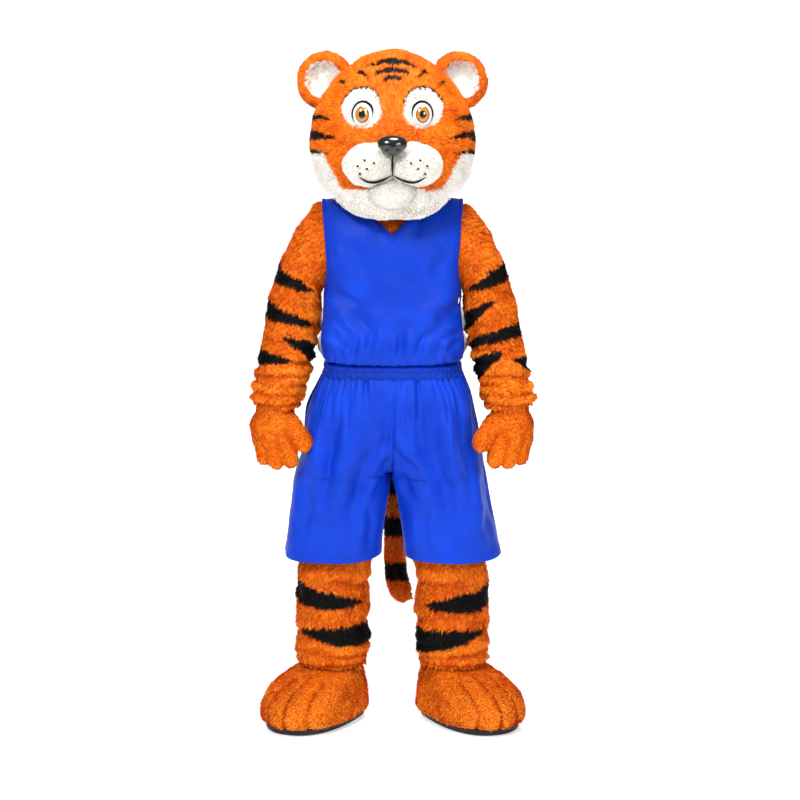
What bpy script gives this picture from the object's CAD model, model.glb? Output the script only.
"""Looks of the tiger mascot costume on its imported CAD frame. Tables are in millimetres, heights above the floor."""
import math

import bpy
import numpy as np
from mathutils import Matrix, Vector


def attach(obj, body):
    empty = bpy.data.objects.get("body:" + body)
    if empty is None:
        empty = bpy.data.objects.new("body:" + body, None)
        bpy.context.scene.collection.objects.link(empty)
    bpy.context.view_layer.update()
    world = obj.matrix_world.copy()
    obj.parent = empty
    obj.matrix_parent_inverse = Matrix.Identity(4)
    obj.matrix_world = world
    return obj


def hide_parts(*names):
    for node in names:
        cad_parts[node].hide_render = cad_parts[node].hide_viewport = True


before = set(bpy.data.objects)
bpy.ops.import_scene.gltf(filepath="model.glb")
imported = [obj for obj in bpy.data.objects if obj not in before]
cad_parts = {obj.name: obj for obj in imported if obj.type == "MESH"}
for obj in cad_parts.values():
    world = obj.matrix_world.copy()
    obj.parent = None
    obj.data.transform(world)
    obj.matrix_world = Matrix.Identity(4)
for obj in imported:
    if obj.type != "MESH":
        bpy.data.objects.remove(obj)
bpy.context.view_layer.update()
SHOULDER_H = 1540.0
rng = np.random.default_rng(4242)


# ------------------------------------------------------------------ tables, the same as the part's
def table(names, rows):
    return {k: np.array([r[i] for r in rows], float) for i, k in enumerate(names.split())}


JERSEY = table("h w df db", [[1064, 176, 126, 118], [1090, 186, 134, 126], [1101, 204, 150, 139], [1120, 215, 158, 145], [1150, 216, 158, 145], [1200, 210, 153, 141], [1250, 204, 147, 137], [1300, 203, 144, 135], [1350, 205, 142, 134], [1400, 208, 140, 132], [1570, 226, 140, 132]])
SUIT = table("h w df db", [[1013, 166, 112, 110], [1064, 162, 112, 104], [1120, 172, 120, 110], [1200, 184, 129, 119], [1300, 190, 130, 122], [1400, 194, 127, 120], [1570, 203, 127, 120]])
CAP_H, CHEST_N = 1400.0, 2.9
SHOULDER = dict(hAtOuter=1566, xOuter=209, slope=0.12, y=6)
JERSEY_CUT = dict(drop=0, sIn=0.645, hLow=1286, hFull=1400, xNeck=134, tip=1463, back=1558)
SUIT_CUT = dict(drop=14, sIn=0.66, hLow=1302, hFull=1400, xNeck=92, tip=1530, back=1555)
SIDE_S = 0.79
SLEEVE = table("xo ho xi hi y b", [[165, 1552, 165, 1310, -2, 71], [203, 1552, 194, 1310, -2, 72], [228, 1545, 207, 1303, -2, 75], [274, 1490, 214, 1284, -2, 79], [310, 1416, 214, 1252, -3, 80], [332, 1357, 216, 1218, -5, 80], [345, 1297, 221, 1188, -7, 79], [362, 1238, 229, 1152, -13, 78], [378, 1163, 238, 1112, -24, 77], [390, 1103, 246, 1072, -36, 76], [408, 1043, 258, 1020, -50, 77], [423, 997, 265, 983, -60, 80], [425, 976, 267, 965, -65, 79], [416, 962, 276, 956, -69, 72]])
LEG = table("h xIn xOut df db", [[1011, 0.4, 166, 112, 110], [975, 0.4, 176, 113, 122], [900, 0.4, 186, 114, 128], [850, 0.4, 189, 113, 126], [800, 4, 190, 110, 120], [775, 10, 190, 107, 115], [736, 17, 193, 103, 109], [650, 29, 217, 101, 104], [560, 52, 253, 101, 101], [464, 75, 283, 105, 102], [400, 76, 284, 104, 101], [356, 73, 289, 107, 104], [290, 77, 285, 104, 101], [232, 79, 286, 103, 103], [192, 82, 287, 100, 104], [168, 86, 285, 95, 102]])
LEG_CUT = dict(crotch=802, rise=190, n=2.25)
TOE_OUT, TOE_N = 22.0, 2.35
BOOT = table("h x y front back side", [[20.5, 218, 6, 248, 116, 127], [45, 219, 6, 258, 121, 134], [80, 218, 6, 252, 119, 132], [110, 212, 6, 226, 114, 124], [133, 202, 5, 182, 107, 112], [149, 193, 4, 134, 98, 99], [159, 187, 4, 101, 90, 89], [166, 185, 3, 83, 83, 82], [206, 185, 3, 80, 80, 79]])
SOLE = table("h x y front back side", [[0, 218, 6, 238, 108, 118], [6, 218, 6, 245, 114, 125], [20, 218, 6, 247, 115, 126]])
SHORTS = table("h xIn xOut df db", [[1046, 0.4, 206, 150, 140], [1000, 0.4, 229, 163, 152], [950, 0.4, 243, 169, 160], [877, 0.4, 258, 170, 168], [800, 0.4, 271, 164, 168], [752, 2, 282, 158, 165], [700, 8, 291, 152, 161], [633, 19, 303, 147, 157], [560, 30, 317, 143, 153], [490, 36, 329, 140, 150]])
SHORTS_CUT = dict(crotch=752, rise=250, n=2.6, hem=514, hemDip=17)
BAND = dict(low=1047, high=1091, wLow=208, wHigh=202, df=152, db=142, dip=8, t=5, n=2.8)
HEAD = table("h w front back", [[1511, 30, -190, -140], [1517, 84, -208, -104], [1532, 122, -220, -62], [1554, 152, -228, 10], [1580, 180, -231, 80], [1612, 205, -232, 128], [1655, 227, -231, 166], [1710, 238, -226, 192], [1770, 237, -214, 203], [1830, 221, -194, 200], [1885, 190, -164, 182], [1935, 148, -124, 148], [1970, 102, -84, 106], [1991, 56, -46, 62], [2000, 12, -2, 18]])
HEAD_N = 2.2
NECK_CUT = dict(h=1590, y=-132)
TAIL = table("x y h r", [[0, 118, 939, 30], [0, 150, 937, 31], [0, 196, 918, 31], [1, 226, 872, 30], [1, 238, 806, 28], [1, 240, 736, 27], [2, 238, 666, 27], [3, 233, 596, 28], [5, 227, 526, 29], [7, 221, 462, 31], [10, 217, 408, 33], [17, 214, 366, 34], [28, 212, 341, 33], [40, 211, 328, 28], [50, 210, 322, 17]])
HAND = dict(
    wrist=[(345, -68, 990, 54), (348, -76, 930, 55)], palm=[(345, -82, 900, 64), (349, -90, 872, 57)], heel=[(360, -83, 901, 60), (364, -90, 870, 52)],
    finger1=[(318, -110, 862, 32), (301, -128, 808, 25)], finger2=[(350, -108, 858, 31), (341, -120, 803, 24)], finger3=[(381, -94, 862, 30), (378, -104, 812, 23)], thumb=[(312, -98, 916, 33), (264, -130, 860, 29)])
EYE = dict(x=84, y=-186, h=1806, rx=30, ry=28, rz=36, turn=0.36)
MUZZLE = dict(x=60, y=-222, h=1664, rx=82, ry=56, rz=62)
CHIN = dict(y=-222, h=1586, rx=66, ry=40, rz=44)
NOSE = dict(y=-280, h=1716, rx=42, ry=26, rz=30)
EAR = dict(x=196, y=18, h=1912, r=82, t=30, lean=36)


# ------------------------------------------------------------------ numbers
def smooth(a, b, x):
    t = np.clip((x - a) / (b - a), 0, 1)
    return t * t * (3 - 2 * t)


def bump(x, at, w):
    return np.exp(-(((x - at) / w) ** 2))


def unit(v):
    return v / np.maximum(np.linalg.norm(v, axis=-1, keepdims=True), 1e-9)


def hashed(i, j, k, seed):
    n = (i.astype(np.int64) * 73856093) ^ (j.astype(np.int64) * 19349663) ^ (k.astype(np.int64) * 83492791) ^ (seed * 40503 + 977)
    n = (n ^ (n >> 13)) * 1274126177 & 0x7FFFFFFF
    n = (n ^ (n >> 15)) * 1911520717 & 0x7FFFFFFF
    return ((n ^ (n >> 14)) & 0xFFFF) / 32767.5 - 1


def noise(p, scale, seed=0):
    """Smooth noise from -1 to 1 at the points p, with lumps of about that size."""
    q = np.asarray(p, float) / scale + 1000.0
    f = np.floor(q)
    i, j, k = (f[..., a].astype(np.int64) for a in range(3))
    t = q - f
    t = t * t * (3 - 2 * t)
    out = 0
    for a in (0, 1):
        for b in (0, 1):
            for c in (0, 1):
                w = (t[..., 0] if a else 1 - t[..., 0]) * (t[..., 1] if b else 1 - t[..., 1]) * (t[..., 2] if c else 1 - t[..., 2])
                out = out + w * hashed(i + a, j + b, k + c, seed)
    return out


def sect(angle, n):
    a = np.radians(angle)
    c, s = np.cos(a), np.sin(a)
    r = (np.abs(s) ** n + np.abs(c) ** n) ** (-1 / n)
    return r * s, r * c


def eased(T, sigma):
    """The table by height with its corners eased over about sigma."""
    lo, hi = T["h"].min(), T["h"].max()
    h = np.arange(lo, hi + 2, 2.0)
    order = np.argsort(T["h"])
    k = np.exp(-0.5 * (np.arange(-30, 31) * 2 / sigma) ** 2)
    k /= k.sum()
    out = {"h": h}
    for c in T:
        if c != "h":
            v = np.interp(h, T["h"][order], T[c][order])
            ends = np.concatenate([2 * v[0] - v[30:0:-1], v, 2 * v[-1] - v[-2:-32:-1]])
            out[c] = np.convolve(ends, k, "valid")
    return out


def at(T, h, c):
    return np.interp(h, T["h"], T[c])


def along(T, t, c):
    """A table's column at position t along its rows, with smooth steps."""
    p = T[c]
    n = len(p) - 1
    i = np.clip(np.floor(t).astype(int), 0, n - 1)
    f = t - i
    m = np.gradient(p)
    f2, f3 = f * f, f ** 3
    return (2 * f3 - 3 * f2 + 1) * p[i] + (f3 - 2 * f2 + f) * m[i] + (3 * f2 - 2 * f3) * p[i + 1] + (f3 - f2) * m[i + 1]


# ------------------------------------------------------------------ forms, as in the part
J, S, L, SH, H = eased(JERSEY, 7), eased(SUIT, 14), eased(LEG, 14), eased(SHORTS, 14), None


def shoulder_h(x, cut):
    return SHOULDER["hAtOuter"] + (SHOULDER["xOuter"] - np.abs(x)) * SHOULDER["slope"] - cut["drop"]


def depth_at(rho):
    return np.maximum(1 - np.abs(rho) ** CHEST_N, 0) ** (1 / CHEST_N)


def rho_of(s):
    return sect(s * 90, CHEST_N)[0]


def body_rho(T, cut, side, rho, tau):
    low = T["h"][0]
    h1 = low + (CAP_H - low) * np.minimum(tau, 1)
    d = side * np.where(side < 0, at(T, h1, "df"), at(T, h1, "db")) * depth_at(rho)
    phi = np.clip(tau - 1, 0, 1) * math.pi / 2
    w = np.where(tau <= 1, at(T, h1, "w"), at(T, CAP_H + (1570 - CAP_H) * np.sin(phi), "w"))
    x = rho * w
    top = shoulder_h(x, cut)
    return np.stack([x, SHOULDER["y"] + (d - SHOULDER["y"]) * np.cos(phi) if np.ndim(phi) else d, np.where(tau <= 1, h1, CAP_H + (top - CAP_H) * np.sin(phi))], -1)


TOP = 2 - 0.004


def tau_of(T, cut, x, h):
    low = T["h"][0]
    return np.where(h <= CAP_H, (h - low) / (CAP_H - low), np.minimum(1 + np.arcsin(np.clip((h - CAP_H) / (shoulder_h(x, cut) - CAP_H), 0, 1)) / (math.pi / 2), TOP))


def arm_s(cut, h, grow=0):
    low, s_in = cut["hLow"] - grow, cut["sIn"] - grow * 0.0034
    c = 1 - np.clip((h - low) / (cut["hFull"] - low), 0, 1)
    return np.where(h <= low, 1.0, 1 - (1 - s_in) * np.sqrt(np.maximum(1 - c * c, 0)))


def arm_h(cut, s, grow=0):
    low = cut["hLow"] - grow
    k = np.clip((1 - s) / (1 - cut["sIn"] + grow * 0.0034), 0, 1)
    return low + (cut["hFull"] - low) * (1 - np.sqrt(1 - k * k))


def neck_tau(T, cut, side, x, grow=0):
    xn = cut["xNeck"] + grow * 0.8
    low = cut["tip"] - grow * 1.25 if side < 0 else cut["back"] - grow
    t = np.minimum(np.abs(x) / xn, 1)
    h = low + (shoulder_h(x, cut) - low) * (t if side < 0 else t ** 3)
    return np.where(t >= 1, TOP, tau_of(T, cut, x, h))


def panel_s(T, cut, u, s_edge):
    a, rn = np.abs(u), cut["xNeck"] / T["w"][-1]
    sn = math.atan2(rn, float(depth_at(rn))) / (math.pi / 2)
    return np.sign(u) * np.where(a <= 0.5, sn * a / 0.5, sn + (s_edge - sn) * (a - 0.5) / 0.5)


def body_grid(T, cut, side, lo, hi, nu, nv, s_side, edge=0.0012):
    u, v = np.meshgrid(np.linspace(lo, hi, nu + 1), np.linspace(0, 1, nv + 1))
    q = 2 * v
    x_top = rho_of(panel_s(T, cut, np.abs(u), cut["sIn"])) * T["w"][-1]
    tau = np.where(q <= 0.85, q, 0.85 + (q - 0.85) / 1.15 * (neck_tau(T, cut, side, x_top) - 0.85))
    h = np.where(tau <= 1, T["h"][0] + (CAP_H - T["h"][0]) * tau, CAP_H + 1)
    s_edge = np.minimum(arm_s(cut, h), s_side) - edge
    return body_rho(T, cut, side, rho_of(panel_s(T, cut, u, s_edge)), tau)


def leg_grid(T, cut, side, sign, i, h, clear=0.15):
    x_in, x_out = at(T, h, "xIn"), at(T, h, "xOut")
    t = np.clip((cut["crotch"] + cut["rise"] - h) / cut["rise"], 0, 1)
    w = x_out - x_in
    rx = w * (1 - t / 2)
    cx = x_out - rx
    k = np.minimum((cx - x_in) / rx, 1)
    end = 90 + np.degrees(np.arctan2(k, np.maximum(1 - k ** cut["n"], 0) ** (1 / cut["n"])))
    y, x = sect(i * (end - clear), cut["n"])
    d = at(T, h, "df") if side < 0 else at(T, h, "db")
    return np.stack([sign * (cx + rx * x), side * d * y, h + 0 * x], -1)


def sleeve_grid(sign, nt, nq, less=0.0):
    t, q = np.meshgrid(np.linspace(0, len(SLEEVE["y"]) - 1, nt + 1), np.linspace(0, 2 * math.pi, nq, endpoint=False), indexing="ij")
    xo, ho, xi, hi, y, b = (along(SLEEVE, t, c) for c in ("xo", "ho", "xi", "hi", "y", "b"))
    a = np.hypot(xo - xi, ho - hi) / 2
    ux, uh = (xo - xi) / 2 / a, (ho - hi) / 2 / a
    k = (a - less) * np.cos(q)
    return np.stack([sign * ((xo + xi) / 2 + ux * k), y + (b - less) * np.sin(q), (ho + hi) / 2 + uh * k], -1), t / (len(SLEEVE["y"]) - 1), q


def boot_point(T, t, sign, turn):
    a = math.radians(TOE_OUT)
    c, s = sect(turn * 360 + 90, TOE_N)
    front, back, side = along(T, t, "front"), along(T, t, "back"), along(T, t, "side")
    p, w = np.where(c > 0, front, back) * c, side * s
    g = np.stack([sign * (along(T, t, "x") + p * math.sin(a) + w * math.cos(a)), along(T, t, "y") - p * math.cos(a) + w * math.sin(a), along(T, t, "h")], -1)
    return g, p, w


# ------------------------------------------------------------------ meshes
def metres(V):
    V = np.array(V, float).reshape(-1, 3) / 1000
    V[:, 2] -= SHOULDER_H / 1000
    return V


def make(name, V, F, mats, midx=None, uv=None, shade=None, normals=None, smooth_faces=True):
    V, F = metres(V), np.asarray(F, np.int32)
    n, k = F.shape
    me = bpy.data.meshes.new(name)
    me.vertices.add(len(V))
    me.vertices.foreach_set("co", V.astype(np.float32).ravel())
    me.loops.add(n * k)
    me.loops.foreach_set("vertex_index", F.ravel())
    me.polygons.add(n)
    me.polygons.foreach_set("loop_start", np.arange(0, n * k, k, dtype=np.int32))
    for m in mats:
        me.materials.append(m)
    if midx is not None:
        me.polygons.foreach_set("material_index", np.asarray(midx, np.int32))
    me.update(calc_edges=True)
    me.polygons.foreach_set("use_smooth", np.full(n, smooth_faces))
    if uv is not None:
        me.uv_layers.new(name="OFBake").data.foreach_set("uv", np.asarray(uv, np.float32).ravel())
    if shade is not None:
        a = me.color_attributes.new("Shade", "FLOAT_COLOR", "POINT")
        a.data.foreach_set("color", np.concatenate([shade, np.ones((len(shade), 1))], 1).astype(np.float32).ravel())
    if normals is not None:
        me.normals_split_custom_set_from_vertices(normals)
    o = bpy.data.objects.new(name, me)
    bpy.context.scene.collection.objects.link(o)
    return o


def grid_faces(nv, nu, wrap, flip=False):
    """Faces and their map of a grid with nv rows of nu points."""
    cols = nu if wrap else nu - 1
    j, i = np.meshgrid(np.arange(nv - 1), np.arange(cols), indexing="ij")
    j, i = j.ravel(), i.ravel()
    i2 = (i + 1) % nu
    F = np.stack([j * nu + i, j * nu + i2, (j + 1) * nu + i2, (j + 1) * nu + i], 1)
    U = np.stack([np.stack([i / cols, j / (nv - 1)], 1), np.stack([(i + 1) / cols, j / (nv - 1)], 1), np.stack([(i + 1) / cols, (j + 1) / (nv - 1)], 1), np.stack([i / cols, (j + 1) / (nv - 1)], 1)], 1)
    U = 0.004 + U * 0.992
    if flip:
        F, U = F[:, ::-1], U[:, ::-1]
    return F, U.reshape(-1, 2)


def grid_normals(G, wrap, centre=None):
    """Normals of a grid of points, facing away from centre(G)."""
    if wrap:
        P = np.concatenate([G[:, -1:], G, G[:, :1]], 1)
        du = (P[:, 2:] - P[:, :-2])
    else:
        du = np.gradient(G, axis=1)
    dv = np.gradient(G, axis=0)
    n = unit(np.cross(du, dv))
    if centre is not None:
        away = (n * (G - centre(G))).sum(-1)
        if (away < 0).mean() > 0.5:
            n = -n
    return n


def axis_of(x=0.0, y=0.0):
    return lambda G: np.stack([np.full(G.shape[:2], x), np.full(G.shape[:2], y), G[..., 2]], -1)


def tris_of(F):
    return np.concatenate([F[:, [0, 1, 2]], F[:, [0, 2, 3]]]) if F.shape[1] == 4 else F


# ------------------------------------------------------------------ materials
def srgb(text):
    v = [int(text[i:i + 2], 16) / 255 for i in (1, 3, 5)]
    return [x / 12.92 if x <= 0.04045 else ((x + 0.055) / 1.055) ** 2.4 for x in v]


def nodes_of(name):
    m = bpy.data.materials.new(name)
    m.use_nodes = True
    nt = m.node_tree
    p = next(n for n in nt.nodes if n.type == "BSDF_PRINCIPLED")
    return m, nt, p


def noise_node(nt, scale, detail=3.0, rough=0.55, stretch=None):
    n = nt.nodes.new("ShaderNodeTexNoise")
    n.inputs["Scale"].default_value = scale
    n.inputs["Detail"].default_value = detail
    n.inputs["Roughness"].default_value = rough
    c = nt.nodes.new("ShaderNodeTexCoord")
    if stretch:
        mp = nt.nodes.new("ShaderNodeMapping")
        mp.inputs["Scale"].default_value = stretch
        nt.links.new(c.outputs["Object"], mp.inputs["Vector"])
        nt.links.new(mp.outputs["Vector"], n.inputs["Vector"])
    else:
        nt.links.new(c.outputs["Object"], n.inputs["Vector"])
    return n


def ramp(nt, source, low, high, a, b):
    r = nt.nodes.new("ShaderNodeMapRange")
    r.inputs["From Min"].default_value, r.inputs["From Max"].default_value = low, high
    r.inputs["To Min"].default_value, r.inputs["To Max"].default_value = a, b
    nt.links.new(source, r.inputs["Value"])
    return r.outputs["Result"]


def add_bump(nt, p, source, strength, distance):
    b = nt.nodes.new("ShaderNodeBump")
    b.inputs["Strength"].default_value, b.inputs["Distance"].default_value = strength, distance
    nt.links.new(source, b.inputs["Height"])
    nt.links.new(b.outputs["Normal"], p.inputs["Normal"])


def strand_material(name, colour, rough=0.62, sheen=0.25):
    m, nt, p = nodes_of(name)
    p.inputs["Base Color"].default_value = (*srgb(colour), 1)
    n = noise_node(nt, 60, 2)
    nt.links.new(ramp(nt, n.outputs["Fac"], 0.3, 0.7, rough - 0.08, rough + 0.08), p.inputs["Roughness"])
    p.inputs["Specular IOR Level"].default_value = 0.16
    p.inputs["Sheen Weight"].default_value = sheen
    p.inputs["Sheen Roughness"].default_value = 0.5
    return m


def fur_skin():
    """Backing under the strands: its vertex shade, broken up by noise."""
    m, nt, p = nodes_of("fur_backing")
    a = nt.nodes.new("ShaderNodeAttribute")
    a.attribute_name = "Shade"
    n = noise_node(nt, 90, 4, 0.7)
    mix = nt.nodes.new("ShaderNodeMix")
    mix.data_type, mix.blend_type = "RGBA", "MULTIPLY"
    mix.inputs[0].default_value = 1.0
    grey = nt.nodes.new("ShaderNodeCombineColor")
    v = ramp(nt, n.outputs["Fac"], 0.25, 0.75, 0.55, 1.0)
    for k in ("Red", "Green", "Blue"):
        nt.links.new(v, grey.inputs[k])
    nt.links.new(a.outputs["Color"], mix.inputs[6])
    nt.links.new(grey.outputs["Color"], mix.inputs[7])
    nt.links.new(mix.outputs[2], p.inputs["Base Color"])
    p.inputs["Roughness"].default_value = 0.95
    p.inputs["Specular IOR Level"].default_value = 0.1
    add_bump(nt, p, n.outputs["Fac"], 0.6, 0.004)
    return m


def knit(name, dark, light, rough, sheen, weave=1500.0, spec=0.35):
    """Smooth polyester knit: two close shades, a fine wale and a soft sheen."""
    m, nt, p = nodes_of(name)
    n = noise_node(nt, 9, 4, 0.6)
    mix = nt.nodes.new("ShaderNodeMix")
    mix.data_type = "RGBA"
    mix.inputs[6].default_value, mix.inputs[7].default_value = (*srgb(dark), 1), (*srgb(light), 1)
    nt.links.new(ramp(nt, n.outputs["Fac"], 0.35, 0.65, 0.0, 1.0), mix.inputs[0])
    nt.links.new(mix.outputs[2], p.inputs["Base Color"])
    fine = noise_node(nt, weave, 1, 0.5, (1.0, 1.0, 0.35))
    add_bump(nt, p, fine.outputs["Fac"], 0.22, 0.0006)
    nt.links.new(ramp(nt, n.outputs["Fac"], 0.3, 0.7, rough - 0.05, rough + 0.05), p.inputs["Roughness"])
    p.inputs["Specular IOR Level"].default_value = spec
    p.inputs["Sheen Weight"].default_value = sheen
    p.inputs["Sheen Roughness"].default_value = 0.35
    p.inputs["Sheen Tint"].default_value = (0.55, 0.7, 1.0, 1)
    return m


def plain(name, colour, rough, spec=0.5, coat=0.0, scale=40, bumpy=0.05):
    m, nt, p = nodes_of(name)
    n = noise_node(nt, scale, 3)
    c = np.array(srgb(colour))
    mix = nt.nodes.new("ShaderNodeMix")
    mix.data_type = "RGBA"
    mix.inputs[6].default_value, mix.inputs[7].default_value = (*(c * 0.86), 1), (*np.minimum(c * 1.1, 1), 1)
    nt.links.new(n.outputs["Fac"], mix.inputs[0])
    nt.links.new(mix.outputs[2], p.inputs["Base Color"])
    p.inputs["Roughness"].default_value = rough
    p.inputs["Specular IOR Level"].default_value = spec
    p.inputs["Coat Weight"].default_value = coat
    p.inputs["Coat Roughness"].default_value = 0.06
    if bumpy:
        add_bump(nt, p, n.outputs["Fac"], bumpy, 0.001)
    return m


ORANGES = ["#e86205", "#f37308", "#fb8010", "#ff9222", "#cc4a03", "#ffa83a"]
BLACKS = ["#040404", "#080707", "#100d0c"]
WHITES = ["#e9e4da", "#f6f2ea", "#fffdf8"]
STRANDS = [strand_material(f"fur_orange_{i}", c, 0.66, 0.0) for i, c in enumerate(ORANGES)] + [strand_material(f"fur_black_{i}", c, 0.6, 0.0) for i, c in enumerate(BLACKS)] + [strand_material(f"fur_white_{i}", c, 0.66, 0.0) for i, c in enumerate(WHITES)]
BACKING = fur_skin()
BLUE = knit("jersey_knit", "#0434b0", "#063dc4", 0.52, 0.0, spec=0.15)
BAND_BLUE = knit("band_knit", "#022a94", "#0332a8", 0.55, 0.0, spec=0.14)
BLUE_TRIM = knit("binding_knit", "#032ea6", "#0537ba", 0.55, 0.0, spec=0.14)
WHITE_KNIT = knit("white_knit", "#d9dbe0", "#e6e8ec", 0.55, 0.0, spec=0.2)
RUBBER = plain("sole_rubber", "#0c0c0d", 0.62, 0.4, 0, 120, 0.2)
GLOSS_BLACK = plain("nose_gloss", "#070707", 0.2, 0.5, 0.6, 30, 0.03)
EYE_WHITE = plain("eye_white", "#f4f3ee", 0.12, 0.5, 0.9, 12, 0)
IRIS = plain("eye_iris", "#c77a12", 0.12, 0.5, 0.9, 220, 0)
PUPIL = plain("eye_pupil", "#050505", 0.08, 0.5, 1.0, 12, 0)
FELT = plain("black_felt", "#0f0e0e", 0.92, 0.15, 0, 300, 0.4)
THREAD = plain("seam_thread", "#1a46ee", 0.7, 0.2, 0, 400, 0.3)
MOUTH = plain("mouth_felt", "#1b0f0e", 0.9, 0.15, 0, 200, 0.3)

BACK_ORANGE, BACK_BLACK, BACK_WHITE = np.array(srgb("#e25e04")), np.array(srgb("#050505")), np.array(srgb("#e6e0d4"))


# ------------------------------------------------------------------ fur
class Skin:
    """A fur surface: points, triangles, normals, lay direction and kind of fur (0 orange, 1 black, 2 white)."""

    def __init__(self, V, T, N, lay, kind, tone=None):
        self.V, self.T, self.N, self.lay, self.kind = V.reshape(-1, 3), T, N.reshape(-1, 3), lay.reshape(-1, 3), kind
        self.tone = np.zeros(len(self.V)) if tone is None else np.asarray(tone, float).reshape(-1)


TURN = np.linalg.qr(np.array([[0.8, 0.3, -0.5], [-0.2, 0.9, 0.4], [0.6, -0.3, 0.7]]))[0]


def strands(name, skin, count, length, width, lift=0.55, seed=1, density=None, kind=None, gravity=0.15, swirl=0.9, clump=13.0, pull=0.68, long=None):
    """One joined mesh of tapered strands: each is a triangle, lying along the skin and gathered in tufts."""
    r = np.random.default_rng(seed)
    V, T = skin.V, skin.T
    a, b, c = V[T[:, 0]], V[T[:, 1]], V[T[:, 2]]
    area = np.linalg.norm(np.cross(b - a, c - a), axis=1)
    if density is not None:
        area = area * density((a + b + c) / 3)
    cdf = np.cumsum(area)
    tri = np.searchsorted(cdf, r.random(count) * cdf[-1])
    u, v = r.random(count), r.random(count)
    flip = u + v > 1
    u, v = np.where(flip, 1 - u, u), np.where(flip, 1 - v, v)
    w0 = 1 - u - v

    def mixed(A):
        return A[T[tri, 0]] * w0[:, None] + A[T[tri, 1]] * u[:, None] + A[T[tri, 2]] * v[:, None]

    p, n, lay = mixed(V), unit(mixed(skin.N)), mixed(skin.lay)
    lay = unit(lay - (lay * n).sum(1, keepdims=True) * n)
    side = np.cross(n, lay)
    c1, c2, c3 = noise(p, 34, seed + 1), noise(p, 21, seed + 2), noise(p, 10, seed + 3)
    turn = swirl * (0.9 * c1 + 0.75 * c3) + 0.42 * r.standard_normal(count)
    rise = lift + 0.24 * c2 + 0.16 * r.standard_normal(count)
    tone = mixed(skin.tone[:, None])[:, 0]
    rise = np.clip(rise, 0.08, 1.3)
    flat = lay * np.cos(turn)[:, None] + side * np.sin(turn)[:, None]
    d = flat * np.cos(rise)[:, None] + n * np.sin(rise)[:, None]
    d[:, 2] -= gravity
    d = unit(d)
    size = length * np.clip(1 + 0.22 * c2 + 0.16 * r.standard_normal(count), 0.45, 1.7)
    size = size * np.clip(1 + 0.4 * np.minimum(tone, 0), 0.45, 1)
    if long is not None:
        size = size * long(p)
    warped = p @ TURN + np.stack([c3, c2, c1], 1) * 0.55 * clump
    cell = np.floor(warped / clump)
    jit = np.stack([hashed(cell[:, 0], cell[:, 1], cell[:, 2], seed + 9 + k) for k in range(3)], 1)
    to = ((cell + 0.5 + 0.35 * jit) * clump - warped) @ TURN.T
    to -= (to * n).sum(1, keepdims=True) * n
    root = p - n * 1.2
    tip = root + d * size[:, None] + to * pull
    across = unit(np.cross(d, n) + 0.55 * r.standard_normal((count, 1)) * n)
    wide = width * (0.75 + 0.5 * r.random(count))[:, None] * across / 2
    face = unit(np.cross(tip - root, wide))
    out = (face * n).sum(1, keepdims=True) < 0
    wide, face = np.where(out, -wide, wide), np.where(out, -face, face)
    P = np.stack([root + wide, root - wide, tip], 1).reshape(-1, 3)
    shadeN = unit(n * 0.72 + face * 0.34 + d * 0.12)
    k = (kind(p) if kind is not None else skin.kind(p)).astype(int)
    tuft = jit[:, 0] * 0.42 + c1 * 0.5 + c2 * 0.3 + 0.38 * r.standard_normal(count) + tone
    o = np.digitize(tuft, [-0.62, -0.15, 0.32, 0.85])  # 0..4
    orange = np.array([4, 0, 1, 2, 3])[o]
    orange = np.where(r.random(count) < 0.04, 5, orange)
    black = 6 + np.digitize(tuft, [0.2, 1.0])
    white = 9 + np.digitize(tuft, [-0.4, 0.35])
    m = np.where(k == 1, black, np.where(k == 2, white, orange))
    F = np.arange(3 * count).reshape(-1, 3)
    used = np.unique(m)
    back = np.zeros(len(STRANDS), int)
    back[used] = np.arange(len(used))
    o = make(name, P, F, [STRANDS[i] for i in used], back[m], None, None, np.repeat(shadeN, 3, 0))
    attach(o, "root")
    return o


def shades(k, p, seed=5):
    base = np.where((k == 1)[:, None], BACK_BLACK, np.where((k == 2)[:, None], BACK_WHITE, BACK_ORANGE))
    return base * (0.9 + 0.18 * noise(p, 30, seed))[:, None]


def fur_grid(name, G, wrap, centre, kind, lay, keep=None, tone=None):
    """The backing's mesh from a grid of points, and its Skin."""
    nv, nu = G.shape[:2]
    N = grid_normals(G, wrap, centre)
    F, UV = grid_faces(nv, nu, wrap)
    P = G.reshape(-1, 3)
    q = P[F]
    facing = (np.cross(q[:, 1] - q[:, 0], q[:, 2] - q[:, 0]) * N.reshape(-1, 3)[F[:, 0]]).sum(1)
    if (facing < 0).mean() > 0.5:
        F, UV = grid_faces(nv, nu, wrap, True)
    if keep is not None:
        ok = keep(P[F].mean(1))
        F, UV = F[ok], UV.reshape(-1, 4, 2)[ok].reshape(-1, 2)
    k = kind(P)
    dark = 1.0 if tone is None else 1 + 0.35 * np.clip(tone.reshape(-1, 1), -1.8, 0)
    o = make(name, P, F, [BACKING], None, UV, shades(k, P) * dark)
    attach(o, "root")
    return o, Skin(P, tris_of(F), N, lay, kind, tone)


def lumps(G, N, seed, big=3.6, small=1.8):
    p = G.reshape(-1, 3)
    d = big * noise(p, 42, seed) + small * noise(p, 17, seed + 50)
    return G + N * d.reshape(G.shape[:2])[..., None]


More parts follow.
